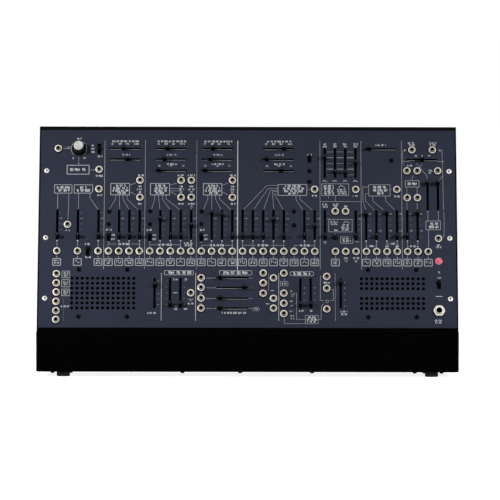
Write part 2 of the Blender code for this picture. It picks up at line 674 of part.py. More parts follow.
def make_lower_board(panel_frame, finish):
    places = [place for place in fader_places() if place[2] < BOARD_SEAM_SHARE]
    low_y, high_y = END_FLANGE + BOARD_CLEARANCE, row_y(BOARD_SEAM_SHARE) - GAP
    board = make_board("lower_board", low_y, high_y, LOWER_JACK_SHARES, places, LOWER_SWITCH_SHARES,
                       (), panel_frame, finish)
    low, high = -BOARD_DEPTH - BOARD_THICKNESS - OVERRUN, -BOARD_DEPTH + OVERRUN / 2
    cuts = bmesh.new()
    for column in SPEAKER_COLUMN_SHARES:
        middle = (column_x(column), row_y(SPEAKER_ROW_SHARE))
        add_stack(cuts, [rectangle_ring(SPEAKER_CUTOUT, SPEAKER_CUTOUT, height, middle)
                         for height in (low, high)])
    x, y = column_x(LAST_COLUMN), row_y(PHONES_ROW_SHARE)
    add_box(cuts, (x - PHONES_NOTCH / 2, y - PHONES_NOTCH / 2, low),
            (BOARD_HALF + OVERRUN, y + PHONES_NOTCH / 2, high))
    combine(board, cuts, "DIFFERENCE", panel_frame)
    return board


# Controls

def make_faders(panel_frame, finish):
    foot = -TRACK_DEPTH - TRACK_GROOVE_DEPTH + GAP
    for name, column, row, upright, share in fader_places():
        if name is None:
            continue
        mesh = bmesh.new()
        add_stack(mesh, lever_rings(upright, foot, (0, 0)) + cap_rings(upright, (0, 0)))
        make_object(name, mesh, finish, panel_frame, (*cap_place(column, row, upright, share), 0))


def make_switches(panel_frame, finish):
    for name, column, row, throw, share in UPPER_SWITCH_SHARES + LOWER_SWITCH_SHARES:
        mesh = bmesh.new()
        slim = SWITCH_KNOB_LENGTH * (1 + CAP_TAPER_SHARE) / 2
        add_stack(mesh, [rectangle_ring(SWITCH_KNOB_WIDTH, SWITCH_KNOB_LENGTH, -SWITCH_DEPTH + GAP),
                         rectangle_ring(SWITCH_KNOB_WIDTH, SWITCH_KNOB_LENGTH, GAP),
                         rectangle_ring(SWITCH_KNOB_WIDTH, slim, SWITCH_KNOB_HEIGHT)])
        place = (column_x(column), row_y(row) + (share - 1 / 2) * throw, 0)
        make_object(name, mesh, finish, panel_frame, place)


def make_turned(name, steps, sides, finish, parent, place):
    """A round piece, from pairs of radius and height."""
    mesh = bmesh.new()
    add_stack(mesh, [circle_ring(radius, height, sides) for radius, height in steps])
    return make_object(name, mesh, finish, parent, place, smooth=True)


def make_gain_knob(panel_frame, finish):
    steps = ((SHAFT_RADIUS, -POT_DEPTH + GAP), (SHAFT_RADIUS, KNOB_LIFT), (SKIRT_RADIUS, KNOB_LIFT),
             (SKIRT_RADIUS, SKIRT_HEIGHT - SKIRT_EDGE), (SKIRT_RADIUS - SKIRT_EDGE, SKIRT_HEIGHT),
             (KNOB_RADIUS, SKIRT_HEIGHT), (KNOB_RADIUS, KNOB_HEIGHT - KNOB_EDGE),
             (KNOB_RADIUS - KNOB_EDGE, KNOB_HEIGHT))
    place = (column_x(KNOB_COLUMN), row_y(TOP_ROW_SHARE), 0)
    return make_turned("gain_knob", steps, KNOB_SIDES, finish, panel_frame, place)


def make_start_button(panel_frame, finish):
    steps = ((BUTTON_RADIUS, -BUTTON_FOOT_DEPTH), (BUTTON_RADIUS, BUTTON_HEIGHT - BUTTON_EDGE),
             (BUTTON_RADIUS - BUTTON_EDGE, BUTTON_HEIGHT))
    place = (column_x(BUTTON_COLUMN), row_y(SWITCH_ROW_SHARE), 0)
    return make_turned("start_button", steps, BUTTON_SIDES, finish, panel_frame, place)


def make_power_lamp(panel_frame, finish):
    steps = ((LAMP_RADIUS, -BOARD_DEPTH + GAP), (LAMP_RADIUS, LAMP_WALL_HEIGHT),
             (LAMP_RADIUS * cos(pi / 6), (LAMP_WALL_HEIGHT + LAMP_HEIGHT) / 2),
             (LAMP_RADIUS * cos(pi / 3), LAMP_HEIGHT))
    place = (column_x(LAST_COLUMN), row_y(LAMP_ROW_SHARE), 0)
    return make_turned("power_lamp", steps, LAMP_SIDES, finish, panel_frame, place)


# Sockets, speakers and what joins the boards

def make_phones_jack(panel_frame, finish):
    body = [square_ring(PHONES_BODY_WIDTH, PHONES_BODY_WIDTH, height, PHONES_SIDES)
            for height in (-PHONES_BODY_DEPTH, -RECESS_DEPTH)]
    top = GAP + PHONES_NUT_HEIGHT
    steps = ((PHONES_COLLAR_RADIUS, -RECESS_DEPTH), (PHONES_COLLAR_RADIUS, GAP), (PHONES_NUT_RADIUS, GAP),
             (PHONES_NUT_RADIUS, top), (PHONES_BORE_RADIUS, top), (PHONES_BORE_RADIUS, -PHONES_BORE_DEPTH))
    mesh = bmesh.new()
    add_stack(mesh, body + [circle_ring(radius, height, PHONES_SIDES) for radius, height in steps])
    place = (column_x(LAST_COLUMN), row_y(PHONES_ROW_SHARE), 0)
    return make_object("phones_jack", mesh, finish, panel_frame, place)


def make_speakers(panel_frame, finish):
    front, frame_back = -RECESS_DEPTH, -RECESS_DEPTH - SPEAKER_FRAME_THICKNESS
    cone_foot = front - SPEAKER_ROLL - CONE_DEPTH
    basket = ((SPEAKER_MAGNET_RADIUS, -SPEAKER_DEPTH), (SPEAKER_MAGNET_RADIUS, -SPEAKER_NECK_DEPTH),
              (SPEAKER_NECK_RADIUS, -SPEAKER_NECK_DEPTH), (SPEAKER_BASKET_RADIUS, frame_back))
    cone = ((SPEAKER_RIM_RADIUS, front), (SPEAKER_RIM_RADIUS - SPEAKER_ROLL, front - SPEAKER_ROLL),
            (CONE_NECK_RADIUS, cone_foot), (DUST_CAP_RADIUS, cone_foot + DUST_CAP_RISE))
    frame = [square_ring(SPEAKER_FRAME, SPEAKER_FRAME, height, SPEAKER_SIDES)
             for height in (frame_back, front)]
    for side, column in zip(("left", "right"), SPEAKER_COLUMN_SHARES):
        mesh = bmesh.new()
        rings = [circle_ring(radius, height, SPEAKER_SIDES) for radius, height in basket]
        rings += frame + [circle_ring(radius, height, SPEAKER_SIDES) for radius, height in cone]
        add_stack(mesh, rings)
        place = (column_x(column), row_y(SPEAKER_ROW_SHARE), 0)
        make_object(f"{side}_speaker", mesh, finish, panel_frame, place, smooth=True)


def make_rear_board(rear_frame, finish):
    places = OUTPUT_PLACES + (DATA_PLACE, COMPUTER_PLACE, INLET_PLACE)
    half_height = REAR_BOARD_HEIGHT / 2
    mesh = bmesh.new()
    add_box(mesh, (min(places) - REAR_BOARD_MARGIN, -half_height, -REAR_BOARD_DEPTH - BOARD_THICKNESS),
            (max(places) + REAR_BOARD_MARGIN, half_height, -REAR_BOARD_DEPTH))
    board = make_object("rear_board", mesh, finish, rear_frame)

    base, wall, face = -REAR_BOARD_DEPTH - FITTING_ROOT, -SHEET - GAP, -SOCKET_RECESS
    sockets = bmesh.new()
    for place in OUTPUT_PLACES:
        body = [square_ring(OUTPUT_BODY_WIDTH, OUTPUT_BODY_WIDTH, height, SOCKET_SIDES, (place, 0))
                for height in (base, wall)]
        steps = ((OUTPUT_COLLAR_RADIUS, wall), (OUTPUT_COLLAR_RADIUS, GAP), (OUTPUT_NUT_RADIUS, GAP),
                 (OUTPUT_NUT_RADIUS, SOCKET_PROUD), (OUTPUT_BORE_RADIUS, SOCKET_PROUD),
                 (OUTPUT_BORE_RADIUS, SOCKET_PROUD - OUTPUT_BORE_DEPTH))
        add_stack(sockets, body + [circle_ring(radius, height, SOCKET_SIDES, (place, 0))
                                   for radius, height in steps])
    steps = ((DATA_RADIUS, base), (DATA_RADIUS, face), (DATA_BORE_RADIUS, face),
             (DATA_BORE_RADIUS, face - DATA_BORE_DEPTH))
    add_stack(sockets, [circle_ring(radius, height, SOCKET_SIDES, (DATA_PLACE, 0))
                        for radius, height in steps])

    outer = (COMPUTER_WIDTH, COMPUTER_HEIGHT)
    inner = (COMPUTER_WIDTH - 2 * COMPUTER_WALL, COMPUTER_HEIGHT - 2 * COMPUTER_WALL)
    steps = ((outer, base), (outer, face), (inner, face), (inner, face - COMPUTER_BORE_DEPTH))
    add_stack(sockets, [rectangle_ring(*size, height, (COMPUTER_PLACE, 0)) for size, height in steps])

    shell = [square_ring(INLET_WIDTH, INLET_HEIGHT, height, INLET_SIDES, (INLET_PLACE, 0))
             for height in (base, face)]
    bore = [circle_ring(INLET_BORE_RADIUS, height, INLET_SIDES, (INLET_PLACE, 0))
            for height in (face, face - INLET_BORE_DEPTH)]
    add_stack(sockets, shell + bore)
    combine(board, sockets, "UNION", rear_frame)
    return board


def make_ribbon(panel_frame, finish):
    """A flat cable whose ends stand on the backs of both boards, across the seam between them."""
    seam, top = row_y(BOARD_SEAM_SHARE), -BOARD_DEPTH - BOARD_THICKNESS - GAP
    outer, inner = RIBBON_REACH, RIBBON_REACH - RIBBON_THICKNESS
    back, front = top - RIBBON_STAND, top - RIBBON_STAND + RIBBON_THICKNESS
    outline = [(seam - outer, top), (seam - outer, back), (seam + outer, back), (seam + outer, top),
               (seam + inner, top), (seam + inner, front), (seam - inner, front), (seam - inner, top)]
    mesh = bmesh.new()
    add_stack(mesh, [[(x, y, z) for y, z in outline]
                     for x in (RIBBON_PLACE - RIBBON_WIDTH / 2, RIBBON_PLACE + RIBBON_WIDTH / 2)])
    return make_object("board_ribbon", mesh, finish, panel_frame)


def build():
    clear_scene()
    panel_frame = make_frame("panel_frame", (0, PANEL_Y, PANEL_Z), (pi / 2 - TILT, 0, 0))
    rear_frame = make_frame("rear_frame", (0, BACK_Y, REAR_ROW_HEIGHT), (pi / 2, 0, pi))
    bpy.context.view_layer.update()

    make_rear_case(panel_frame, rear_frame, BLACK_PAINT)
    make_base_tray(panel_frame, BLACK_PAINT)
    make_feet(RUBBER)
    make_front_panel(panel_frame, PANEL_PAINT)
    make_upper_board(panel_frame, BOARD_RESIN)
    make_lower_board(panel_frame, BOARD_RESIN)
    make_rear_board(rear_frame, BOARD_RESIN)
    make_ribbon(panel_frame, RIBBON_SKIN)
    make_speakers(panel_frame, SPEAKER_PAPER)
    make_phones_jack(panel_frame, NICKEL)
    make_power_lamp(panel_frame, RED_LENS)
    make_gain_knob(panel_frame, KNOB_METAL)
    make_start_button(panel_frame, BLACK_PLASTIC)
    make_switches(panel_frame, BLACK_PLASTIC)
    make_faders(panel_frame, BLACK_PLASTIC)


build()
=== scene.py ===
from math import cos, pi, radians, sin

import bmesh
import bpy
import json
import numpy as np
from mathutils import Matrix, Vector
from mathutils.geometry import tessellate_polygon

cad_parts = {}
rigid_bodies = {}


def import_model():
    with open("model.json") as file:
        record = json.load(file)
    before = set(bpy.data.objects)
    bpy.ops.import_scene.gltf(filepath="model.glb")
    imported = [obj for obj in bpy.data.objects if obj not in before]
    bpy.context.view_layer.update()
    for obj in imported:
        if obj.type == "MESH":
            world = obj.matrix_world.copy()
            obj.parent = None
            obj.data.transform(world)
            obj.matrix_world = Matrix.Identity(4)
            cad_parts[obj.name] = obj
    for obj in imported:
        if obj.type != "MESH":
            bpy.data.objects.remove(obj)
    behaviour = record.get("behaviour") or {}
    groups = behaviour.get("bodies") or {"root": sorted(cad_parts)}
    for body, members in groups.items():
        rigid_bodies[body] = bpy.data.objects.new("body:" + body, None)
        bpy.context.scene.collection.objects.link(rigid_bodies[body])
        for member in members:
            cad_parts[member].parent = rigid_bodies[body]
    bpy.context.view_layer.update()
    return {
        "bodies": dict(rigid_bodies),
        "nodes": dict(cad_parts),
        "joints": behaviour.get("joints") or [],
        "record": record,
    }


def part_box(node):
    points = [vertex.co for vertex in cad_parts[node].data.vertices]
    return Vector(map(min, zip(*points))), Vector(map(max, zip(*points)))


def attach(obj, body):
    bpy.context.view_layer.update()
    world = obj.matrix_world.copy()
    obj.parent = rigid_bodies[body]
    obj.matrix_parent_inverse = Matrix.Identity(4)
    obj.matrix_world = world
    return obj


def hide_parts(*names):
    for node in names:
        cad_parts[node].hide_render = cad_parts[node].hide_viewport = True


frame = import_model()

nodes = frame["nodes"]
mm = 0.001


# Places on the panel: columns across, millimetres up the slope, millimetres off its face

tilt = radians(18.5)
pitch = 12.78  # From column to column
middleColumn = 18.5
panelLength = 257.5
panelOrigin = np.array((0.0, -0.05285, 0.060131))
panelAxes = np.array(((1, 0, 0), (0, sin(tilt), cos(tilt)), (0, -cos(tilt), sin(tilt))))
backOrigin = np.array((0.0, 0.0621, 0.0450))
backAxes = np.array(((-1, 0, 0), (0, 0, 1), (0, 1, 0)))  # x runs the other way, y up, z out of the back
underOrigin = np.array((0.0, 0.0, 0.0060))
underAxes = np.array(((1, 0, 0), (0, -1, 0), (0, 0, -1)))  # z hangs down from the case's underside


def across(column):
    return (column - middleColumn) * pitch


def onPanel(points):
    # The origin plus each of the point's three numbers times the panel's axis of that number
    return panelOrigin + points * mm @ panelAxes


def onBack(points):
    return backOrigin + points * mm @ backAxes


def underneath(points):
    return underOrigin + points * mm @ underAxes


def onFloor(points):
    return points * mm


# Shapes: a shape is its points and a list of arrays of faces

def skin(stack, looped=False):
    # Quads between neighbouring rings of points; the ends are faces, or meet when looped
    rings, sides = stack.shape[:2]
    row = np.arange(rings if looped else rings - 1)[:, None]
    step = np.arange(sides)[None]
    up, along = (row + 1) % rings, (step + 1) % sides
    quads = np.stack((row * sides + step, row * sides + along,
                      up * sides + along, up * sides + step), -1).reshape(-1, 4)
    faces = [quads]
    if not looped:
        faces += [np.arange(sides)[None, ::-1], np.arange(sides)[None] + (rings - 1) * sides]
    return stack.reshape(-1, 3), faces


def circle(radius, sides):
    # The radius times the cosine and sine of evenly spaced angles
    angles = np.arange(sides) * 2 * pi / sides
    return radius * np.column_stack((np.cos(angles), np.sin(angles)))


def roundedRing(width, length, corner, steps=4):
    # Four quarter circles, each round its own corner's middle
    angles = (np.arange(4)[:, None] + np.linspace(0, 1, steps)[None]) * pi / 2
    signs = np.array(((1, 1), (-1, 1), (-1, -1), (1, -1)))
    middles = signs * (width / 2 - corner, length / 2 - corner)
    arcs = corner * np.stack((np.cos(angles), np.sin(angles)), -1)
    return (middles[:, None] + arcs).reshape(-1, 2)


def crossRing(reach, sides):
    # A plus sign: along each ray, the farther edge of its two bars
    rays = circle(1.0, sides)
    spread, rise = np.maximum(abs(rays), 1e-9).T
    half = reach * np.tan(2 * pi / sides)
    distance = np.maximum(np.minimum(reach / spread, half / rise), np.minimum(half / spread, reach / rise))
    return distance[:, None] * rays


def hexRing(flat, corner, sides):
    # Along each ray, the nearer of a six-sided outline and a circle that cuts its corners
    angles = np.arange(sides) * 2 * pi / sides
    distance = np.minimum(flat / np.cos(np.mod(angles, pi / 3) - pi / 6), corner)
    return distance[:, None] * circle(1.0, sides)


def loft(levels, looped=False):
    # Rings of the same number of points, each at its height
    return skin(np.stack([np.column_stack((ring, np.full(len(ring), float(height))))
                          for ring, height in levels]), looped)


def turned(profile, sides, looped=False):
    # Each pair of the profile is a circle's radius and its height
    return loft([(circle(radius, sides), height) for radius, height in profile], looped)


def tapered(levels, steps=3, looped=False):
    # Rounded rectangles, each with its width, length, corner and height
    return loft([(roundedRing(*size, steps), height) for *size, height in levels], looped)


def stamp(shape, places):
    # The same shape at each place: its points plus the place, its faces counted on
    points, faces = shape
    places = np.asarray(places, float).reshape(-1, 3)
    moved = (points[None] + places[:, None]).reshape(-1, 3)
    steps = (np.arange(len(places)) * len(points))[:, None, None]
    return moved, [(face[None] + steps).reshape(-1, face.shape[1]) for face in faces]


def quarterTurn(shape):
    # y becomes minus x and x becomes y, so the faces still look outwards
    points, faces = shape
    return np.column_stack((-points[:, 1], points[:, 0], points[:, 2])), faces


def join(shapes):
    points, faces, count = [], [], 0
    for shape in shapes:
        points.append(shape[0])
        faces += [face + count for face in shape[1]]
        count += len(shape[0])
    return np.concatenate(points), faces


def block(low, high, corner=0.3, edge=0.2):
    # A box with rounded corners and a chamfer along the top and bottom
    low, high = np.array(low, float), np.array(high, float)
    width, length, rise = high - low
    full = roundedRing(width, length, corner)
    slim = roundedRing(width - 2 * edge, length - 2 * edge, corner)
    shape = loft([(slim, 0), (full, edge), (full, rise - edge), (slim, rise)])
    return stamp(shape, ((low[0] + high[0]) / 2, (low[1] + high[1]) / 2, low[2]))


# Materials

class Flow:
    # A socket of a node tree whose sums add nodes

    def __init__(self, tree, socket=None):
        self.tree, self.socket = tree, socket

    def make(self, kind, settings=None, values=None, output=0):
        node = self.tree.nodes.new(kind)
        for key, value in (settings or {}).items():
            setattr(node, key, value)
        for key, value in (values or {}).items():
            if isinstance(value, Flow):
                self.tree.links.new(value.socket, node.inputs[key])
            else:
                node.inputs[key].default_value = value
        return Flow(self.tree, node.outputs[output])

    def sum(self, operation, first, second=0.0):
        return self.make("ShaderNodeMath", {"operation": operation}, {0: first, 1: second})

    def __add__(self, other):
        return self.sum("ADD", self, other)

    def __radd__(self, other):
        return self.sum("ADD", other, self)

    def __sub__(self, other):
        return self.sum("SUBTRACT", self, other)

    def __rsub__(self, other):
        return self.sum("SUBTRACT", other, self)

    def __mul__(self, other):
        return self.sum("MULTIPLY", self, other)

    def __rmul__(self, other):
        return self.sum("MULTIPLY", other, self)

    def __abs__(self):
        return self.sum("ABSOLUTE", self)

    def held(self):
        return self.make("ShaderNodeClamp", values={"Value": self})  # Between 0 and 1

    def noise(self, scale, detail):
        return self.make("ShaderNodeTexNoise", values={"Vector": self, "Scale": scale, "Detail": detail})

    def stretched(self, factors):
        return self.make("ShaderNodeVectorMath", {"operation": "MULTIPLY"}, {0: self, 1: factors})


def mixColour(factor, first, second):
    # The colour sockets of a Mix node are the seventh and eighth, its colour output the third
    return factor.make("ShaderNodeMix", {"data_type": "RGBA"}, {0: factor, 6: first, 7: second}, 2)


def colour(value):
    # Three numbers, or one for a grey, and a full alpha
    return (*(value if isinstance(value, tuple) else (value,) * 3), 1.0)


finishes = {
    "panelPaint": {"dark": (0.036, 0.041, 0.066), "light": (0.045, 0.051, 0.081), "worn": (0.09, 0.10, 0.14),
                   "rough": (0.46, 0.58), "grain": 2600, "bump": 0.10, "wear": 0.10, "specular": 0.03},
    "casePaint": {"dark": (0.0020, 0.0020, 0.0021), "light": (0.0050, 0.0050, 0.0053), "worn": 0.018,
                  "rough": (0.42, 0.56), "grain": 2200, "bump": 0.12, "wear": 0.16, "specular": 0.03},
    "trayPaint": {"dark": 0.0004, "light": (0.0011, 0.0011, 0.0012), "worn": 0.006,
                  "rough": (0.42, 0.56), "grain": 2200, "bump": 0.12, "wear": 0.12, "specular": 0.006},
    # Near black, for black parts such as the speakers' frames and for pieces that stand in for shade: slot
    # linings, level slots' upper lips, washers round the nuts, socket throats and the floors of screw crosses
    "blackAndPaintedShade": {"dark": 0.0003, "light": 0.0008, "worn": 0.004,
                  "rough": (0.70, 0.85), "grain": 2600, "bump": 0.10, "wear": 0.10, "specular": 0.004},
    "blackPlastic": {"dark": 0.002, "light": 0.005, "worn": 0.04,
                     "rough": (0.34, 0.50), "grain": 3200, "bump": 0.08, "wear": 0.16, "specular": 0.05},
    "capPlastic": {"dark": 0.001, "light": 0.003, "worn": 0.04,
                   "rough": (0.26, 0.40), "grain": 3600, "bump": 0.06, "wear": 0.20, "specular": 0.05},
    # The upright slots' fader covers: the steel of the level slots' lower lips, painted near black as the
    # shade down the upright slots
    "paintedShadeSteel": {"dark": 0.001, "light": 0.003, "worn": 0.01,
                  "rough": (0.40, 0.56), "grain": 2400, "bump": 0.06, "wear": 0.30, "specular": 0.01,
                  "streak": (30, 900, 30)},
    "nickel": {"dark": (0.50, 0.48, 0.42), "light": (0.96, 0.94, 0.87), "worn": (0.34, 0.31, 0.25),
               "rough": (0.30, 0.44), "grain": 20000, "bump": 0.05, "wear": 0.25, "metallic": 1.0},
    "bushMetal": {"dark": (0.12, 0.105, 0.08), "light": (0.44, 0.41, 0.34), "worn": (0.10, 0.085, 0.065),
                  "rough": (0.24, 0.40), "grain": 20000, "bump": 0.05, "wear": 0.25, "metallic": 1.0},
    "steel": {"dark": (0.33, 0.335, 0.315), "light": (0.52, 0.53, 0.495), "worn": (0.22, 0.22, 0.20),
              "rough": (0.36, 0.52), "grain": 2400, "bump": 0.06, "wear": 0.35,
              "streak": (30, 900, 30)},
    "screwSteel": {"dark": (0.52, 0.51, 0.48), "light": (0.84, 0.83, 0.79), "worn": (0.25, 0.23, 0.21),
                   "rough": (0.22, 0.40), "grain": 3000, "bump": 0.06, "wear": 0.25, "metallic": 1.0},
    "darkScrew": {"dark": 0.001, "light": 0.003, "worn": 0.02,
                  "rough": (0.36, 0.50), "grain": 3000, "bump": 0.06, "wear": 0.20, "specular": 0.04},
    "knobMetal": {"dark": (0.19, 0.19, 0.18), "light": (0.60, 0.60, 0.58), "worn": (0.18, 0.17, 0.16),
                  "rough": (0.24, 0.40), "grain": 12000, "bump": 0.08, "wear": 0.35, "metallic": 0.9,
                  "streak": (900, 40, 40)},
    "inkBright": {"dark": (0.62, 0.63, 0.65), "light": (0.76, 0.77, 0.79), "worn": (0.30, 0.31, 0.33),
                  "rough": (0.48, 0.60), "grain": 2600, "bump": 0.05, "wear": 0.30},
    "inkPlain": {"dark": (0.42, 0.43, 0.46), "light": (0.52, 0.53, 0.56), "worn": (0.16, 0.17, 0.20),
                 "rough": (0.48, 0.60), "grain": 2600, "bump": 0.05, "wear": 0.30},
    "inkFaint": {"dark": (0.12, 0.13, 0.15), "light": (0.17, 0.18, 0.20), "worn": (0.07, 0.07, 0.09),
                 "rough": (0.48, 0.60), "grain": 2600, "bump": 0.05, "wear": 0.30},
    "lampRed": {"dark": (0.80, 0.03, 0.08), "light": (0.95, 0.10, 0.16), "worn": (0.60, 0.20, 0.22),
                "rough": (0.12, 0.24), "grain": 1800, "bump": 0.04, "wear": 0.10, "coat": 0.6},
    "lampRim": {"dark": (0.62, 0.20, 0.24), "light": (0.80, 0.36, 0.40), "worn": (0.30, 0.24, 0.24),
                "rough": (0.20, 0.34), "grain": 2600, "bump": 0.05, "wear": 0.20},
    "boardResin": {"dark": (0.008, 0.040, 0.022), "light": (0.016, 0.075, 0.038), "worn": (0.10, 0.14, 0.10),
                   "rough": (0.30, 0.46), "grain": 900, "bump": 0.05, "wear": 0.20},
    "rubber": {"dark": 0.010, "light": 0.022, "worn": (0.07, 0.07, 0.065),
               "rough": (0.72, 0.90), "grain": 2000, "bump": 0.25, "wear": 0.20},
    "speakerPaper": {"dark": 0.002, "light": 0.005, "worn": 0.01,
                     "rough": (0.80, 0.95), "grain": 1500, "bump": 0.35, "wear": 0.20, "specular": 0.05},
    "speakerRoll": {"dark": 0.001, "light": 0.003, "worn": 0.01,
                    "rough": (0.45, 0.60), "grain": 1200, "bump": 0.10, "wear": 0.15, "specular": 0.05},
    "ribbonSkin": {"dark": (0.30, 0.30, 0.31), "light": (0.40, 0.40, 0.41), "worn": (0.22, 0.21, 0.20),
                   "rough": (0.50, 0.64), "grain": 1400, "bump": 0.08, "wear": 0.20,
                   "streak": (3000, 20, 20)},
    "floorPaint": {"dark": 0.88, "light": 0.93, "worn": 0.86,
                   "rough": (0.62, 0.74), "grain": 120, "bump": 0.02, "wear": 0.10},
}

# The noises that every surface shares, and how they are brought between 0 and 1
surface = {"patchSize": 60, "patchDetail": 5.0, "grainDetail": 3.0, "lineDetail": 2.0, "lineThinness": 45,
           "patchStart": 0.48, "patchSlope": 7, "patchShare": 0.65, "grainShare": 0.35, "low": 0.2,
           "contrast": 1.6, "scratchRough": 0.2, "scratchDepth": -0.4, "bumpDistance": 0.0001}


def makeMaterial(name, dark, light, worn, rough, grain, bump, wear, metallic=0.0, coat=0.0,
                 specular=0.3, streak=(300, 40, 300)):
    # Soft patches and fine grain move the colour and roughness; thin scratches come where a
    # stretched noise is near one half, and only inside the patches
    material = bpy.data.materials.new(name)
    material.use_nodes = True
    tree = material.node_tree
    shader = tree.nodes["Principled BSDF"]
    place = Flow(tree).make("ShaderNodeTexCoord", output="Object")
    patches = place.noise(grain / surface["patchSize"], surface["patchDetail"])
    grains = place.noise(grain, surface["grainDetail"])
    lines = place.stretched(streak).noise(1.0, surface["lineDetail"])
    inPatches = ((patches - surface["patchStart"]) * surface["patchSlope"]).held()
    scratches = (1 - abs(lines - 0.5) * surface["lineThinness"]).held() * inPatches
    mixed = patches * surface["patchShare"] + grains * surface["grainShare"]
    blend = ((mixed - surface["low"]) * surface["contrast"]).held()
    base = mixColour(blend, colour(dark), colour(light))
    base = mixColour(scratches * wear, base, colour(worn))
    roughness = rough[0] + (rough[1] - rough[0]) * blend + scratches * (wear * surface["scratchRough"])
    relief = place.make("ShaderNodeBump", values={
        "Strength": bump, "Distance": surface["bumpDistance"],
        "Height": grains + scratches * surface["scratchDepth"]})
    for socket, flow in (("Base Color", base), ("Roughness", roughness), ("Normal", relief)):
        tree.links.new(flow.socket, shader.inputs[socket])
    for socket, value in (("Metallic", metallic), ("Coat Weight", coat), ("Specular IOR Level", specular)):
        shader.inputs[socket].default_value = value
    return material


materials = {name: makeMaterial(name, **finish) for name, finish in finishes.items()}
lampGlow = {"colour": (1.0, 0.05, 0.12), "strength": 0.55}
lampShader = materials["lampRed"].node_tree.nodes["Principled BSDF"]
lampShader.inputs["Emission Color"].default_value = colour(lampGlow["colour"])
lampShader.inputs["Emission Strength"].default_value = lampGlow["strength"]
print("materials")


# Pieces

def smoothed(mesh, sharp):
    mesh.polygons.foreach_set("use_smooth", np.ones(len(mesh.polygons), bool))
    mesh.set_sharp_from_angle(angle=radians(sharp))


def finishPiece(item, material, body, replaced):
    item.data.materials.clear()
    item.data.materials.append(materials[material])
    bpy.context.collection.objects.link(item)
    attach(item, body)
    if replaced:
        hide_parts(*replaced)


def piece(name, shape, material, place=onPanel, body="housing", replaced=(), slot=None, sharp=32):
    points, faces = shape
    mesh = bpy.data.meshes.new(name)
    mesh.from_pydata(place(np.asarray(points, float)).tolist(), [],
                     [face for group in faces for face in group.tolist()])
    smoothed(mesh, sharp)
    finishPiece(bpy.data.objects.new(name, mesh), material, body, replaced)


carrying = {"weld": 1e-6, "flat": radians(0.5), "sharp": 28, "segments": 2}


def carried(name, node, material, edge):
    # A CAD node's own shape, merged into whole faces, with softened edges
    shape = bmesh.new()
    shape.from_mesh(nodes[node].data)
    bmesh.ops.remove_doubles(shape, verts=shape.verts, dist=carrying["weld"])
    bmesh.ops.dissolve_limit(shape, angle_limit=carrying["flat"], verts=shape.verts, edges=shape.edges)
    mesh = bpy.data.meshes.new(name)
    shape.to_mesh(mesh)
    shape.free()
    smoothed(mesh, carrying["sharp"])
    item = bpy.data.objects.new(name, mesh)
    bevel = item.modifiers.new("softEdges", "BEVEL")
    bevel.width, bevel.segments, bevel.limit_method = edge * mm, carrying["segments"], "ANGLE"
    bevel.angle_limit = radians(carrying["sharp"])
    finishPiece(item, material, "housing", (node,))


def panelMiddle(node):
    # The middle of a node's box, in millimetres across and up the slope, and the box's size
    mesh = nodes[node].data
    points = np.empty(len(mesh.vertices) * 3)
    mesh.vertices.foreach_get("co", points)
    local = (points.reshape(-1, 3) - panelOrigin) @ panelAxes.T / mm
    low, high = local.min(0), local.max(0)
    return (low[0] + high[0]) / 2, (low[1] + high[1]) / 2, high - low


# Layout of the controls: rows are shares of the panel's length, up the slope

rows = {name: share * panelLength for name, share in {
    "top": .9037, "output": .8990, "second": .8490, "third": .7922, "filterSwitch": .8551, "envelope": .8322,
    "preampOut": .7969, "upperOut": .7418, "middleOut": .6971, "lowerOut": .6551, "reverb": .6695,
    "gate": .5856, "fader": .5165, "reverbOut": .4485, "switch": .4544, "jack": .3825, "seam": .3515,
    "lamp": .3355, "speaker": .1728, "power": .2167, "phones": .0854}.items()}
processorShares = (.2485, .1996, .1460, .0963)
processorRows = [share * panelLength for share in processorShares]
mainFaders = (0, 2, 4, 6, 7, 8, 10, 11, 12, 13, 15, 16, 17, 18, 19, 20, 21, 22, 24, 25, 26, 29, 30, 31,
              32, 33, 34, 35)
mainJacks = (0, 2, *range(4, 26), *range(27, 37))
upperJacks = [(column, rows[row]) for row, columns in (
    ("jack", mainJacks), ("top", (0,)), ("output", (34.5, 36.5)), ("third", (34, 35, 37)),
    ("preampOut", (4,)), ("upperOut", (8, 12, 13, 17)), ("middleOut", (4, 25, 29, 33)),
    ("lowerOut", (8, 12, 13, 17, 34, 35)), ("gate", (27, 28)), ("fader", (1,)), ("reverbOut", (37,)))
    for column in columns]
lowerJacks = [(column, share * panelLength) for column, shares in (
    (0, (.2676, .2217, .1755, .1289, .0827, .0381)), (13, (.1728,)), (14, processorShares),
    (20, (.2730, .2229, .1711)), (21, (.2485, .1460, .0963)), (22, (.2726, .1720, .1212, .0695)),
    (26.15, (.2563, .1969, .0928))) for share in shares]

# Faders joined to their boards: column, row and the cap's share of the travel
upperLevel = [(column, rows[row], share) for column, row, share in (
    (6.5, "top", .45), (6.5, "second", .60), (11, "top", .35), (11, "second", .22), (11, "third", 0),
    (15.5, "top", .32), (15.5, "second", .23), (15.5, "third", 0), (21.5, "top", .72), (21.5, "second", 0),
    (21.5, "third", .59))]
lowerLevel = [(17, row, share) for row, share in zip(processorRows, (0, 1, 0, 0))]
lowerUpright = [(column, rows["speaker"], share) for column, share in (
    (9.5, .83), (11, 0), (12, 0), (23.6, 0), (24.6, 0), (27.5, .93))]

# Faders that move: column and row
movingLevel = [(31.5, rows["top"]), (35.5, rows["second"])]
movingUpright = [(column, rows[row]) for row, columns in (
    ("fader", mainFaders), ("envelope", (26, 27, 28, 29)), ("reverb", (36, 37))) for column in columns]

# Column, row and travel of each switch
switches = [(4, rows["top"], 8.0), (24.5, rows["filterSwitch"], 4.8), (5, rows["switch"], 4.8),
            (9, rows["switch"], 4.8), (14, rows["switch"], 4.8), (3, rows["jack"], 6.0),
            (37, rows["power"], 5.6)]
speakers = ((4.5, None), (32.5, 3))  # Column, and the row of its grille that has no holes


def spots(places):
    return np.array([(across(place[0]), place[1], 0) for place in places], float)


# Front panel: a sheet with every opening cut in it

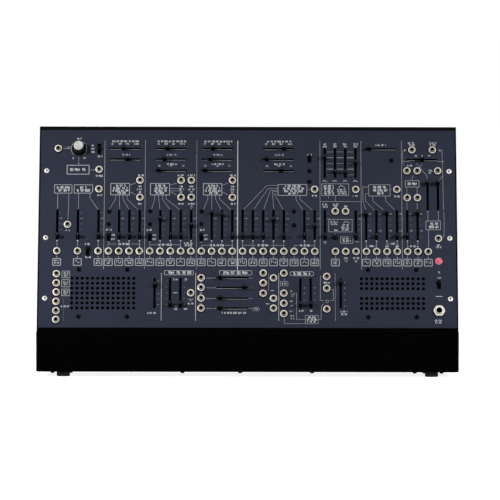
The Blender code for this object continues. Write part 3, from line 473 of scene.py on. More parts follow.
front = {"width": 516.2, "thickness": 1.5, "edge": 0.15, "corner": 0.5, "slimCorner": 0.4,
         "slot": (2.4, 38.4), "slotCorners": (0.25, 0.3), "jackHole": 3.35, "window": (4.8, 5.6),
         "windowCorners": (0.3, 0.4), "grilleHole": (2.05, 2.1), "grillePitch": 6.38, "grilleRows": 7,
         "grilleColumns": 13, "knobHole": 3.35, "buttonHole": 3.15, "lampHole": 3.3, "phonesHole": 5.2,
         "jackSides": 20, "grilleSides": 16, "roundSides": 32}


def panelOutlines():
    # Each opening's outline in the wall, its wider outline in the face, and its middle
    width, edge = front["width"], front["edge"]
    slim = roundedRing(width - 2 * edge, panelLength - 2 * edge, front["slimCorner"])
    outlines = [(roundedRing(width, panelLength, front["corner"]), slim, (0, panelLength / 2))]

    def hole(inner, outer, middle):
        outlines.append((inner[::-1], outer[::-1], middle))

    def roundHole(radius, wider, sides, middle):
        hole(circle(radius, sides), circle(wider, sides), middle)

    def window(width, length, corners, steps=3):
        return (roundedRing(width, length, corners[0], steps),
                roundedRing(width + 2 * edge, length + 2 * edge, corners[1], steps))

    slot, wide = window(*front["slot"], front["slotCorners"])
    for column, row, *_ in movingUpright + lowerUpright:
        hole(slot, wide, (across(column), row))
    for column, row, *_ in movingLevel + upperLevel + lowerLevel:
        hole(slot[:, ::-1][::-1], wide[:, ::-1][::-1], (across(column), row))
    for column, row in upperJacks + lowerJacks:
        roundHole(front["jackHole"], front["jackHole"] + edge, front["jackSides"], (across(column), row))
    for column, row, travel in switches:
        windowWidth, knob = front["window"]
        hole(*window(windowWidth, knob + travel, front["windowCorners"]), (across(column), row))
    for column, row, opening in ((2, "top", "knobHole"), (27, "switch", "buttonHole"),
                                 (37, "lamp", "lampHole"), (37, "phones", "phonesHole")):
        radius = front[opening]
        roundHole(radius, radius + edge, front["roundSides"], (across(column), rows[row]))
    lastRow, lastColumn = front["grilleRows"] - 1, front["grilleColumns"] - 1
    for column, bare in speakers:
        for row in range(lastRow + 1):
            for step in range(lastColumn + 1):
                if row != bare:
                    middle = (across(column) + (step - lastColumn / 2) * front["grillePitch"],
                              rows["speaker"] + (row - lastRow / 2) * front["grillePitch"])
                    roundHole(*front["grilleHole"], front["grilleSides"], middle)
    return outlines


def panelSheet():
    # The sheet's face with its holes is cut into triangles once; the back repeats it, and walls
    # with a small chamfer join the two round every outline
    thickness, edge = front["thickness"], front["edge"]
    outlines = panelOutlines()
    face = [outer + middle for _, outer, middle in outlines]
    wall = [inner + middle for inner, _, middle in outlines]
    triangles = np.array(tessellate_polygon([[Vector((*point, 0)) for point in ring] for ring in face]))
    flatFace, flatWall = np.concatenate(face), np.concatenate(wall)
    corners = flatFace[triangles]
    turn = np.cross(corners[:, 1] - corners[:, 0], corners[:, 2] - corners[:, 0])
    triangles[turn < 0] = triangles[turn < 0][:, ::-1]
    count = len(flatFace)
    levels = [(flatFace, 0.0), (flatWall, -edge), (flatWall, edge - thickness), (flatFace, -thickness)]
    points = np.concatenate([np.column_stack((flat, np.full(count, height))) for flat, height in levels])
    following, start = np.arange(count) + 1, 0
    for ring in face:
        following[start + len(ring) - 1] = start
        start += len(ring)
    step = np.arange(count)
    quads = [np.stack((step + level * count, step + (level + 1) * count,
                       following + (level + 1) * count, following + level * count), -1)
             for level in range(len(levels) - 1)]
    return points, [triangles, triangles[:, ::-1] + (len(levels) - 1) * count] + quads


piece("frontPanel", panelSheet(), "panelPaint", replaced=("front_panel",), slot="panel_paint", sharp=25)
print("panel")


# Case

carried("rearCase", "rear_case", "casePaint", edge=0.35)
carried("baseTray", "base_tray", "trayPaint", edge=0.30)

foot = {"profile": ((2.0, 1.4), (2.4, 0.0), (6.6, 0.0), (7.6, 0.35), (8.1, 1.1), (8.2, 2.0), (8.2, 4.9),
                    (7.9, 5.7)), "sides": 48}
for end in ("front", "rear"):
    for side in ("left", "right"):
        low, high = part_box(f"foot_{end}_{side}")
        middle = ((low.x + high.x) / 2 / mm, (low.y + high.y) / 2 / mm, 0)
        piece(f"foot{end.title()}{side.title()}", stamp(turned(foot["profile"], foot["sides"]), middle),
              "rubber", onFloor, replaced=(f"foot_{end}_{side}",), slot="rubber")
print("case")


# Boards with what stands on them

jack = {"nut": ((3.25, 0.3), (4.6, 0.3), (4.74, 0.5), (4.70, 1.5), (4.50, 2.1), (4.3, 2.3), (3.6, 2.35),
                (3.4, 2.1), (3.25, 1.2)),
        "bush": ((3.0, -1.8), (3.0, 3.9), (2.75, 4.3), (2.35, 4.3), (2.05, 4.1), (1.95, 3.7), (1.95, -1.8)),
        "shadeWasher": ((3.02, 0.02), (5.55, 0.02), (5.6, 0.12), (5.5, 0.28), (3.02, 0.28)),
        "throat": ((2.3, -6.4), (1.95, -1.9), (1.95, 3.5), (1.82, 3.5), (1.82, -6.0)),
        "sides": 28, "throatSides": 20, "body": ((-4.4, -5.0, -12.0), (4.4, 4.2, -1.9))}

# The shade lining's rings are a width and a height; those of the track, the cover and the cap are a width, a
# length, a corner and a height; lips, levers and the cap's line are blocks
fader = {"travel": 30,
         "shadeLining": ((2.7, -1.95), (2.34, -1.4), (2.34, 0.02), (2.95, 0.02), (2.95, 0.06), (2.12, 0.06),
                    (2.12, -1.95)),
         "shadeLiningLonger": 36, "shadeLiningCorner": 0.25,
         "upperShadeLip": ((0.34, -18.95, -1.0), (1.1, 18.95, -0.6), 0.1, 0.05),
         "lowerLip": ((-1.1, -18.95, -1.0), (-0.34, 18.95, -0.6), 0.1, 0.05),
         "track": ((9.0, 45.0, 0.4, -12.0), (9.0, 45.0, 0.4, -4.95), (1.8, 38.4, 0.3, -4.95),
                   (1.8, 38.4, 0.3, -8.6)),
         "cover": ((8.8, 44.6, 0.6, -4.95), (8.8, 44.6, 0.6, -4.6), (8.5, 44.3, 0.5, -4.5),
                   (2.0, 38.2, 0.4, -4.5), (1.8, 38.0, 0.3, -4.6), (1.8, 38.0, 0.3, -4.95)),
         "fixedLever": ((-0.3, -1.8, -8.4), (0.3, 1.8, 1.3), 0.1, 0.1),
         "levelLever": ((-0.3, -1.8, -7.0), (0.3, 1.8, 1.3), 0.1, 0.1),
         "uprightLever": ((-0.6, -1.8, -7.0), (0.6, 1.8, 1.3), 0.2, 0.1),
         "cap": ((4.2, 5.4, 0.9, 1.0), (4.4, 5.6, 1.0, 1.25), (4.4, 5.6, 1.0, 2.0), (4.05, 5.2, 0.9, 2.5),
                 (3.75, 4.75, 0.85, 8.0), (3.45, 4.3, 0.8, 9.6), (2.9, 3.7, 0.7, 10.35),
                 (2.5, 3.3, 0.6, 10.5), (2.0, 2.8, 0.5, 10.4)), "capSteps": 5,
         "capLine": ((-0.22, -1.7, 10.2), (0.22, 1.7, 10.48), 0.1, 0.05)}
# A near-black sleeve inside each slot's walls, with a flange lying on the face round the slot: painted shade
# that makes the slot look black and wider than its cut
shadeLining = tapered([(width, width + fader["shadeLiningLonger"], fader["shadeLiningCorner"], height)
                  for width, height in fader["shadeLining"]], looped=True)
cap = tapered(fader["cap"], fader["capSteps"])
capLine = block(*fader["capLine"])
fixedCap = join([cap, block(*fader["fixedLever"])])

# The sheet of a board, and the bodies of the switches, of the gain control and of the start button
board = {"half": 242.8, "bottom": -13.1, "top": -11.5, "edge": 0.15, "corner": 1.0, "stripCorner": 0.6,
         "opening": 25.0, "gap": 25.2, "ends": (5.5, 252.0), "seamGap": 0.3,
         "switch": {"half": 3.6, "knob": 4.8, "margin": 2.4, "bottom": -12.0, "top": -5.0},
         "gain": ((-6, -6, -12.0), (6, 6, -5.0)), "button": ((-2.75, -2.75, -12.0), (2.75, 2.75, -8.0))}
boards = {
    "upper": {"jacks": upperJacks, "level": upperLevel, "upright": [], "movingLevel": movingLevel,
              "movingUpright": movingUpright, "low": rows["seam"] + board["seamGap"],
              "high": board["ends"][1]},
    "lower": {"jacks": lowerJacks, "level": lowerLevel, "upright": lowerUpright, "movingLevel": [],
              "movingUpright": [], "low": board["ends"][0], "high": rows["seam"] - board["seamGap"]}}


def boardSheet(name, low, high):
    def strip(left, low, right, high, corner):
        return block((left, low, board["bottom"]), (right, high, board["top"]), corner, board["edge"])

    half = board["half"]
    if name == "upper":
        return strip(-half, low, half, high, board["corner"])
    # Strips left round the openings behind the speakers
    leftMiddle, rightMiddle = (across(column) for column, _ in speakers)
    row, opening, gap, corner = rows["speaker"], board["opening"], board["gap"], board["stripCorner"]
    return join([strip(-half, low, half, row - gap, corner), strip(-half, row + gap, half, high, corner),
                 strip(-half, row - opening, leftMiddle - opening, row + opening, corner),
                 strip(leftMiddle + opening, row - opening, rightMiddle - opening, row + opening, corner)])


def switchBody(travel):
    size = board["switch"]
    long = (size["knob"] + travel + size["margin"]) / 2
    return block((-size["half"], -long, size["bottom"]), (size["half"], long, size["top"]))


def capSpots(places, axis):
    # The distance of the travel's share from the slot's middle, added along the slot
    spot = np.array([(across(column), row, 0) for column, row, _ in places], float).reshape(-1, 3)
    spot[:, axis] += [(share - 0.5) * fader["travel"] for _, _, share in places]
    return spot


def boardPieces(name, jacks, level, upright, movingLevel, movingUpright, low, high):
    node = (f"{name}_board",)
    holes, levels, uprights = spots(jacks), spots(level + movingLevel), spots(upright + movingUpright)
    piece(f"{name}Board", boardSheet(name, low, high), "boardResin", replaced=node, slot="board_resin")
    # The black washers under the nuts, a little wider than the nuts, also stand in for the shade round each
    # nut
    for part, profile, finish in (("Nuts", "nut", "nickel"), ("Bushes", "bush", "bushMetal"),
                                  ("ShadeWashers", "shadeWasher", "blackAndPaintedShade")):
        piece(f"{name}Jack{part}", stamp(turned(jack[profile], jack["sides"], looped=True), holes), finish,
              replaced=node, slot="nickel")
    # Each socket's throat is near black: its black inside, and painted shade down the bore
    piece(f"{name}JackThroats", stamp(turned(jack["throat"], jack["throatSides"]), holes), "blackAndPaintedShade",
          replaced=node)
    # The slot linings: painted shade inside and round each slot
    piece(f"{name}SlotShadeLinings", join([stamp(quarterTurn(shadeLining), levels), stamp(shadeLining, uprights)]),
          "blackAndPaintedShade", replaced=node, slot="board_resin")
    track = tapered(fader["track"])
    bodies = [stamp(block(*jack["body"]), holes), stamp(track, uprights), stamp(quarterTurn(track), levels)]
    for column, row, travel in switches:
        if low < row < high:
            bodies.append(stamp(switchBody(travel), spots([(column, row)])))
    if name == "upper":
        bodies.append(stamp(block(*board["gain"]), spots([(2, rows["top"])])))
        bodies.append(stamp(block(*board["button"]), spots([(27, rows["switch"])])))
    piece(f"{name}Fittings", join(bodies), "blackPlastic", replaced=node, slot="board_resin")
    # The upper lip of each level slot is near black, painted shade under the slot's upper edge; the lower lip
    # is the frame's steel
    for part, lip, finish in (("Upper", "upperShadeLip", "blackAndPaintedShade"), ("Lower", "lowerLip", "steel")):
        piece(f"{name}{part}Lips", stamp(quarterTurn(block(*fader[lip])), levels), finish, replaced=node,
              slot="board_resin")
    # The upright slots' covers are painted near black, the shade down those slots
    piece(f"{name}UprightCovers", stamp(tapered(fader["cover"], looped=True), uprights), "paintedShadeSteel",
          replaced=node, slot="nickel")
    caps, lines = (join([stamp(quarterTurn(shape), capSpots(level, 0)), stamp(shape, capSpots(upright, 1))])
                   for shape in (fixedCap, capLine))
    piece(f"{name}JoinedCaps", caps, "capPlastic", replaced=node, slot="cap_plastic")
    piece(f"{name}JoinedCapLines", lines, "inkFaint", replaced=node)


for name, layout in boards.items():
    boardPieces(name, **layout)
print("boards")


# Controls that move

for node in nodes:
    if node.endswith("_fader") or node.startswith("main_fader"):
        x, y, size = panelMiddle(node)
        level = size[0] > size[1]
        shapes = [join([cap, block(*fader["levelLever" if level else "uprightLever"])]), capLine]
        if level:
            shapes = [quarterTurn(shape) for shape in shapes]
        piece(f"{node}.cap", stamp(shapes[0], (x, y, 0)), "capPlastic", body=node, replaced=(node,),
              slot="cap_plastic")
        piece(f"{node}.line", stamp(shapes[1], (x, y, 0)), "inkFaint", body=node, replaced=(node,))

# Width, length, corner and height of the knob's rings, and where its ridges run
switchKnob = {"rings": ((4.0, 4.8, 0.5, -4.7), (4.0, 4.8, 0.5, 0.6), (3.9, 4.6, 0.5, 2.0),
                        (3.8, 4.3, 0.5, 3.1), (3.4, 3.9, 0.4, 3.4)), "steps": 4,
              "ridge": ((-1.5, -0.18, 3.2), (1.5, 0.18, 3.4), 0.1, 0.05), "ridges": (-1.2, -0.4, 0.4, 1.2)}
knob = join([tapered(switchKnob["rings"], switchKnob["steps"]),
             stamp(block(*switchKnob["ridge"]), [(0, row, 0) for row in switchKnob["ridges"]])])
for node in nodes:
    if node.endswith("_switch"):
        x, y, _ = panelMiddle(node)
        piece(f"{node}.knob", stamp(knob, (x, y, 0)), "blackPlastic", body=node, replaced=(node,),
              slot="switch_plastic")

button = {"profile": ((2.6, -6.2), (2.75, -6.0), (2.75, 3.5), (2.6, 3.9), (2.2, 4.15), (1.6, 4.2),
                      (1.2, 4.05), (0.5, 3.95)), "sides": 32}
x, y, _ = panelMiddle("start_button")
piece("startButton", stamp(turned(button["profile"], button["sides"]), (x, y, 0)), "blackPlastic",
      body="start_button", replaced=("start_button",), slot="button_plastic")

# The cap's rings are pairs of radius and height; its flutes are every other pair of its sides
gainKnob = {"skirt": ((3.0, -4.7), (3.0, 0.8), (8.4, 0.8), (8.75, 1.1), (8.75, 2.9), (8.3, 3.6), (7.4, 3.95),
                      (5.9, 4.0)), "skirtSides": 64, "sides": 96, "foot": (5.9, 3.8),
            "radius": 6.0, "flute": 0.16, "fluted": (4.3, 12.6),
            "crown": ((6.05, 12.9), (6.05, 13.5), (5.6, 13.9), (4.9, 14.0), (4.7, 13.85), (1.2, 13.75)),
            "pointer": ((-0.35, 6.3, 3.6), (0.35, 8.2, 4.0), 0.1, 0.05)}
knobSpot = (across(2), rows["top"], 0)
onKnob = {"body": "gain_knob", "replaced": ("gain_knob",)}
rays = circle(1.0, gainKnob["sides"])
deep = gainKnob["flute"] * (np.arange(gainKnob["sides"]) % 4 < 2)
fluted = (gainKnob["radius"] - deep)[:, None] * rays
cup = loft([(rays * gainKnob["foot"][0], gainKnob["foot"][1])]
           + [(fluted, height) for height in gainKnob["fluted"]]
           + [(rays * radius, height) for radius, height in gainKnob["crown"]])
piece("gainKnobSkirt", stamp(turned(gainKnob["skirt"], gainKnob["skirtSides"]), knobSpot), "darkScrew",
      slot="button_plastic", **onKnob)
piece("gainKnobCap", stamp(cup, knobSpot), "knobMetal", slot="knob_metal", **onKnob)
piece("gainKnobPointer", stamp(block(*gainKnob["pointer"]), knobSpot), "inkBright", **onKnob)
print("controls")


# Lamp, headphone socket and speakers

lamp = {"lens": ((2.2, -11.0), (2.2, 0.5), (2.15, 1.3), (1.9, 2.0), (1.4, 2.55), (0.7, 2.78)),
        "lensSides": 40,
        "rim": ((2.25, -1.4), (2.9, -1.4), (2.9, 0.03), (4.5, 0.03), (4.6, 0.2), (4.4, 0.6), (3.3, 1.0),
                (2.6, 0.9), (2.25, 0.4)), "rimSides": 48}
lampSpot = (across(37), rows["lamp"], 0)
piece("lampLens", stamp(turned(lamp["lens"], lamp["lensSides"]), lampSpot), "lampRed",
      replaced=("power_lamp",), slot="red_lens")
piece("lampRim", stamp(turned(lamp["rim"], lamp["rimSides"], looped=True), lampSpot), "lampRim",
      replaced=("power_lamp",))


def hexNut(foot, hexagon, rim, sides):
    # Circles under and over rings of a six-sided outline, each with its flat, corner and height
    return loft([(circle(radius, sides), height) for radius, height in foot]
                + [(hexRing(flat, corner, sides), height) for flat, corner, height in hexagon]
                + [(circle(radius, sides), height) for radius, height in rim], looped=True)


phones = {"sides": 48,
          "foot": ((4.9, -1.2), (4.9, 0.3)), "rim": ((5.5, 2.85), (5.1, 2.4), (4.9, 2.3)),
          "hexagon": ((6.65, 7.1, 0.3), (6.7, 7.2, 0.5), (6.7, 7.2, 2.2), (6.4, 6.7, 2.75)),
          "collar": ((4.8, -1.7), (4.8, 4.2), (4.5, 4.6), (4.0, 4.6), (3.6, 4.3), (3.4, 3.9), (3.4, -1.7)),
          "throat": ((4.6, -23.0), (4.6, -1.8), (3.38, -1.7), (3.38, 3.9), (3.15, 3.9), (3.15, -21.5)),
          "body": (14.4, 14.4, 0.8), "bodyHeights": (-26.0, -1.8), "bore": ((4.7, -1.8), (4.7, -23.2))}
phonesSpot = (across(37), rows["phones"], 0)
phonesNut = hexNut(phones["foot"], phones["hexagon"], phones["rim"], phones["sides"])
square = roundedRing(*phones["body"], 12)
phonesBody = loft([(square, height) for height in phones["bodyHeights"]]
                  + [(circle(radius, phones["sides"]), height) for radius, height in phones["bore"]])
# The phones throat is near black: the socket's black inside, and painted shade down its bore
for part, shape, finish, slot in (
        ("Nut", phonesNut, "nickel", "nickel"),
        ("Collar", turned(phones["collar"], phones["sides"], looped=True), "nickel", "nickel"),
        ("Throat", turned(phones["throat"], phones["sides"]), "blackAndPaintedShade", None),
        ("Body", phonesBody, "blackPlastic", None)):
    piece(f"phones{part}", stamp(shape, phonesSpot), finish, replaced=("phones_jack",), slot=slot)

# Radius and height pairs of the basket, the surround that joins it to the cone, the cone and the dust cap
speaker = {"sides": 48, "basket": ((14.6, -27.0), (15.0, -26.6), (15.0, -20.0), (17.0, -20.0), (25.5, -4.8)),
           "frame": (66, 66, 3), "frameHeights": (-4.8, -1.9), "frameHole": ((26.6, -1.9), (26.5, -4.2)),
           "ear": (4.4, 23.0), "earHeights": (-4.0, -3.2), "ears": (-37.6, 37.6),
           "roll": {"radius": 26.5, "width": 3.0, "height": -1.95, "depth": 2.2, "steps": 7},
           "rollBack": ((22.9, -2.6), (22.9, -4.6), (26.4, -4.6)),
           "coneBack": ((7.0, -16.0), (23.4, -4.4)),
           "cone": ((23.4, -3.0), (16.0, -9.0), (8.2, -13.2), (7.6, -13.4)),
           "dust": {"radius": 7.6, "height": -13.4, "rise": 3.2, "last": 1.4, "steps": 6}}


def speakerFrame():
    circles = [[(circle(radius, speaker["sides"]), height) for radius, height in speaker[part]]
               for part in ("basket", "frameHole")]
    frameRing = [(roundedRing(*speaker["frame"], 12), height) for height in speaker["frameHeights"]]
    (half, long), (low, high) = speaker["ear"], speaker["earHeights"]
    ears = [block((side - half, -long, low), (side + half, long, high), 1.0, 0.1) for side in speaker["ears"]]
    return join([loft(circles[0] + frameRing + circles[1])] + ears)


def speakerRoll():
    # The surround dips as one minus the square of its way across, from minus one to one
    roll = speaker["roll"]
    profile = [(roll["radius"] - roll["width"] * step,
                roll["height"] - roll["depth"] * (1 - (2 * step - 1) ** 2))
               for step in np.linspace(0, 1, roll["steps"])]
    return turned(profile + list(speaker["rollBack"]), speaker["sides"], looped=True)


def speakerCone():
    # The dust cap is a quarter of an oval: radius times cosine, height plus rise times sine
    dust = speaker["dust"]
    dome = [(dust["radius"] * cos(angle), dust["height"] + dust["rise"] * sin(angle))
            for angle in np.linspace(0, dust["last"], dust["steps"])[1:]]
    return turned(speaker["coneBack"] + speaker["cone"] + tuple(dome), speaker["sides"])


for side, (column, _) in zip(("left", "right"), speakers):
    spot, node = (across(column), rows["speaker"], 0), (f"{side}_speaker",)
    piece(f"{side}SpeakerFrame", stamp(speakerFrame(), spot), "blackAndPaintedShade", replaced=node,
          slot="speaker_paper")
    piece(f"{side}SpeakerRoll", stamp(speakerRoll(), spot), "speakerRoll", replaced=node)
    piece(f"{side}SpeakerCone", stamp(speakerCone(), spot), "speakerPaper", replaced=node,
          slot="speaker_paper")
carried("boardRibbon", "board_ribbon", "ribbonSkin", edge=0.25)


# Rear board: places run from the case's middle, heights out of its back

rear = {"outputs": [(-90, 0, 0), (-115, 0, 0)], "data": (-150, 0, 0), "computer": (-180, 0, 0),
        "inlet": (-210, 0, 0), "root": -14.8, "face": -0.3, "outputFace": -1.8, "softEdge": 0.25,
        "softShare": 0.975, "sides": 48, "sheet": ((-226, -13, -15.6), (-74, 13, -14.0), 1.0, 0.15),
        "outputBore": (3.3, 6.8), "outputFoot": ((4.5, 0.32),),
        "outputHexagon": ((6.2, 6.7, 0.32), (6.3, 6.8, 0.5), (6.3, 6.8, 1.5), (6.0, 6.3, 1.85)),
        "outputRim": ((5.2, 1.9), (4.6, 1.7), (4.5, 1.5)),
        "outputCollar": ((4.4, -1.7), (4.4, 2.1), (4.15, 2.36), (3.75, 2.36), (3.5, 2.1), (3.35, 1.7),
                         (3.35, -1.7)),
        "dataRadius": 8.8, "dataBore": (6.8, 6.2),
        "dataShell": ((7.3, -0.9), (7.3, -0.2), (7.15, -0.1), (6.7, -0.1), (6.6, -0.2), (6.6, -6.3),
                      (6.9, -6.3), (6.9, -0.9)),
        "contact": ((0.85, -6.6), (0.85, -5.7), (0.7, -5.6), (0.45, -5.6), (0.4, -5.9)), "contactSides": 14,
        "contactCircle": 3.9, "contactDrop": 1.0, "contactAngles": (0, 45, 90, 135, 180),
        "computerBody": (12.0, 11.0, 0.6), "computerHole": (8.5, 7.5, 0.4), "computerDepth": 9.0,
        "computerShell": ((9.4, -0.6), (9.4, -0.15), (9.2, -0.05), (8.2, -0.05), (8.05, -0.2), (8.05, -9.2),
                          (8.6, -9.2), (8.6, -0.6)), "shellLower": 1.0, "shellCorner": 0.4,
        "tongue": ((-2.6, -1.4, -9.4), (2.6, 1.4, -6.4), 0.3, 0.2),
        "inletBody": (9.8, 11.2, 1.0), "inletBore": (3.3, 9.5),
        "pin": ((1.0, -9.9), (1.0, -5.4), (0.8, -5.0), (0.4, -4.8)), "pinSides": 20}


def rearHousing(outer, bore, depth, top=rear["face"]):
    # A moulded body with a soft front edge, whose bore goes down from its face
    return loft([(outer, rear["root"]), (outer, top - rear["softEdge"]), (outer * rear["softShare"], top),
                 (bore, top), (bore, top - depth)])


def rearBore(name):
    radius, depth = rear[name]
    return circle(radius, rear["sides"]), depth


outputNut = hexNut(rear["outputFoot"], rear["outputHexagon"], rear["outputRim"], rear["sides"])
computerShell = tapered([(width, width - rear["shellLower"], rear["shellCorner"], height)
                         for width, height in rear["computerShell"]], 12, looped=True)
contactSpots = [(rear["data"][0] + rear["contactCircle"] * cos(angle),
                 rear["contactCircle"] * sin(angle) - rear["contactDrop"], 0)
                for angle in np.radians(rear["contactAngles"])]
housings = [
    stamp(rearHousing(square, *rearBore("outputBore"), rear["outputFace"]), rear["outputs"]),
    stamp(rearHousing(circle(rear["dataRadius"], rear["sides"]), *rearBore("dataBore")), rear["data"]),
    stamp(rearHousing(roundedRing(*rear["computerBody"], 12), roundedRing(*rear["computerHole"], 12),
                      rear["computerDepth"]), rear["computer"]),
    stamp(rearHousing(roundedRing(*rear["inletBody"], 12), *rearBore("inletBore")), rear["inlet"]),
    stamp(block(*rear["tongue"]), rear["computer"])]
collar = turned(rear["outputCollar"], rear["sides"], looped=True)
shells = [stamp(turned(rear["dataShell"], rear["sides"], looped=True), rear["data"]),
          stamp(computerShell, rear["computer"])]
contacts = [stamp(turned(rear["contact"], rear["contactSides"]), contactSpots),
            stamp(turned(rear["pin"], rear["pinSides"]), rear["inlet"])]
for part, shape, finish, slot in (
        ("Board", block(*rear["sheet"]), "boardResin", "board_resin"),
        ("Housings", join(housings), "blackPlastic", None),
        ("Nuts", stamp(outputNut, rear["outputs"]), "nickel", "nickel"),
        ("Collars", stamp(collar, rear["outputs"]), "nickel", None),
        ("Shells", join(shells), "screwSteel", None),
        ("Contacts", join(contacts), "nickel", None)):
    piece(f"rear{part}", shape, finish, onBack, replaced=("rear_board",), slot=slot)
print("sockets")


# Screws

# Each ring's share of the head's radius and of its height, the first two under the head; then the cross
head = {"sides": 24, "root": (0.5, -0.6), "base": (0.94, 0.0),
        "dome": ((1, 0.12), (0.93, 0.62), (0.74, 0.93)), "cross": 0.55, "floor": (0.85, 0.3)}
screws = {
    "panel": {"size": (3.35, 1.7), "side": 250.5, "rows": (203.5, 116.0, 37.4),
              "crossShade": ((1.5, 0.4), (1.5, 0.75))},
    "board": {"size": (2.9, 1.2), "places": (
        (5.02, 150.3), (4.98, 133.8), (9.01, 150.7), (9.0, 133.8), (14.02, 150.7), (14.0, 134.2),
        (23.0, 150.7), (23.0, 132.8), (24.5, 203.9), (24.5, 189.8), (32.5, 217.7))},
    "speaker": {"size": (2.9, 1.3), "x": (-29.9, 29.9), "y": (-30.6, 30.3)},
    "under": {"size": (2.6, 1.7), "x": (-240, -80, -9, 79.5, 206, 239), "y": (57.0, -52.0)},
    "rear": {"size": (2.2, 1.2), "x": (-75, -132, -195, -235), "y": (13, -13)}}


def screw(radius, height):
    # A domed head whose top is cut by a cross, from a circle to a plus sign of as many points
    sides, ring = head["sides"], circle(1.0, head["sides"])
    low = [(ring * radius * share, depth) for share, depth in (head["root"], head["base"])]
    dome = [(ring * radius * share, rise * height) for share, rise in head["dome"]]
    reach, (narrow, floor) = radius * head["cross"], head["floor"]
    cross = [(crossRing(reach, sides), height), (crossRing(reach * narrow, sides), floor * height)]
    return loft(low + dome + cross)


def screwGrid(name):
    return [(x, y, 0) for x in screws[name]["x"] for y in screws[name]["y"]]


silver = [(side * screws["panel"]["side"], row, 0) for side in (-1, 1) for row in screws["panel"]["rows"]]
around = np.concatenate([np.array(screwGrid("speaker")) + spots([(column, rows["speaker"])])
                         for column, _ in speakers])
# A near-black plus sign lies in the cross of each silver screw: painted shade in the recess
crossShade = loft([(crossRing(reach, head["sides"]), height)
                   for reach, height in screws["panel"]["crossShade"]])
piece("panelScrews", stamp(screw(*screws["panel"]["size"]), silver), "screwSteel")
piece("panelScrewCrossShade", stamp(crossShade, silver), "blackAndPaintedShade")
for name, places, place in (
        ("board", spots(screws["board"]["places"]), onPanel), ("speaker", around, onPanel),
        ("under", screwGrid("under"), underneath), ("rear", screwGrid("rear"), onBack)):
    piece(f"{name}Screws", stamp(screw(*screws[name]["size"]), places), "darkScrew", place)
print("screws")


# Printing: strokes a little over the panel's face, in three inks

ink = {"Bright": [], "Plain": [], "Faint": []}
printing = {"faces": (-0.05, 0.04), "mitreLimit": 0.35, "line": 0.4, "wave": 0.5, "dotSides": 10,
            "digitStep": 0.80, "digitWidth": 0.6}  # A digit's step and width are shares of its height


def stroke(tone, points, width, closed=False):
    # A strip along a path: at every point it is as wide as the mean of its neighbours' normals
    # makes it, divided by one plus their product so that the sides stay parallel
    path = np.asarray(points, float)
    along = (np.roll(path, -1, 0) - path) if closed else np.diff(path, axis=0)
    along /= np.linalg.norm(along, axis=1)[:, None]
    normal = np.column_stack((-along[:, 1], along[:, 0]))
    before = np.roll(normal, 1, 0) if closed else np.concatenate((normal[:1], normal))
    after = normal if closed else np.concatenate((normal, normal[-1:]))
    turn = np.maximum(1 + (before * after).sum(1), printing["mitreLimit"])
    mitre = (before + after) / turn[:, None] * width / 2
    left, right = path + mitre, path - mitre
    low, high = (np.full(len(path), face) for face in printing["faces"])
    section = np.stack((np.column_stack((left, low)), np.column_stack((left, high)),
                        np.column_stack((right, high)), np.column_stack((right, low))), 1)
    ink[tone].append(skin(section, closed))


def wire(tone, width, *numbers):
    # A line through points whose columns and rows follow one another
    points = np.reshape(numbers, (-1, 2)).astype(float)
    stroke(tone, np.column_stack((across(points[:, 0]), points[:, 1])), width)


def ticks(tone, width, columns, heights, start, end):
    # Short level lines, at each height from a little beside each column
    for column in columns:
        for row in heights:
            wire(tone, width, column + start, row, column + end, row)


def frameBox(left, low, right, high, width, corner=0.3, cut=0):
    # An outline between two columns and two rows, whose lower right corner may be cut off
    ring = roundedRing((right - left) * pitch, high - low, corner, 3)
    if cut:
        half = np.array(((right - left) * pitch, high - low)) / 2
        ring = np.array(((half[0], half[1]), (-half[0], half[1]), (-half[0], -half[1]),
                         (half[0] - cut, -half[1]), (half[0], cut - half[1])))
    middle = ((across(left) + across(right)) / 2, (low + high) / 2)
    stroke("Plain", ring + middle, width, True)


def dot(column, row, radius, tone="Bright"):
    disc = turned([(radius, face) for face in printing["faces"]], printing["dotSides"])
    ink[tone].append(stamp(disc, (across(column), row, 0)))


numberStrokes = {
    "0": [((0, 0), (1, 0), (1, 1), (0, 1), (0, 0))], "1": [((0.2, 0.8), (0.6, 1), (0.6, 0))],
    "2": [((0, 1), (1, 1), (1, 0.5), (0, 0.45), (0, 0), (1, 0))],
    "3": [((0, 1), (1, 1), (0.5, 0.55), (1, 0.4), (1, 0), (0, 0))],
    "4": [((0.7, 0), (0.7, 1), (0, 0.35), (1, 0.35))],
    "5": [((1, 1), (0, 1), (0, 0.5), (1, 0.5), (1, 0), (0, 0))],
    "6": [((0.9, 1), (0, 0.6), (0, 0), (1, 0), (1, 0.5), (0, 0.5))],
    "7": [((0, 1), (1, 1), (0.4, 0))],
    "8": [((0, 0), (1, 0), (1, 1), (0, 1), (0, 0)), ((0, 0.5), (1, 0.5))],
    "9": [((0.1, 0), (1, 0.4), (1, 1), (0, 1), (0, 0.5), (1, 0.5))]}


def number(tone, x, row, text, height, width):
    # Digits side by side round a middle
    step, digitWidth = height * printing["digitStep"], height * printing["digitWidth"]
    left = x - (len(text) - 1) * step / 2 - digitWidth / 2
    for place, sign in enumerate(text):
        for path in numberStrokes.get(sign, ()):
            shift = (left + place * step, row - height / 2)
            stroke(tone, np.array(path) * (digitWidth, height) + shift, width)


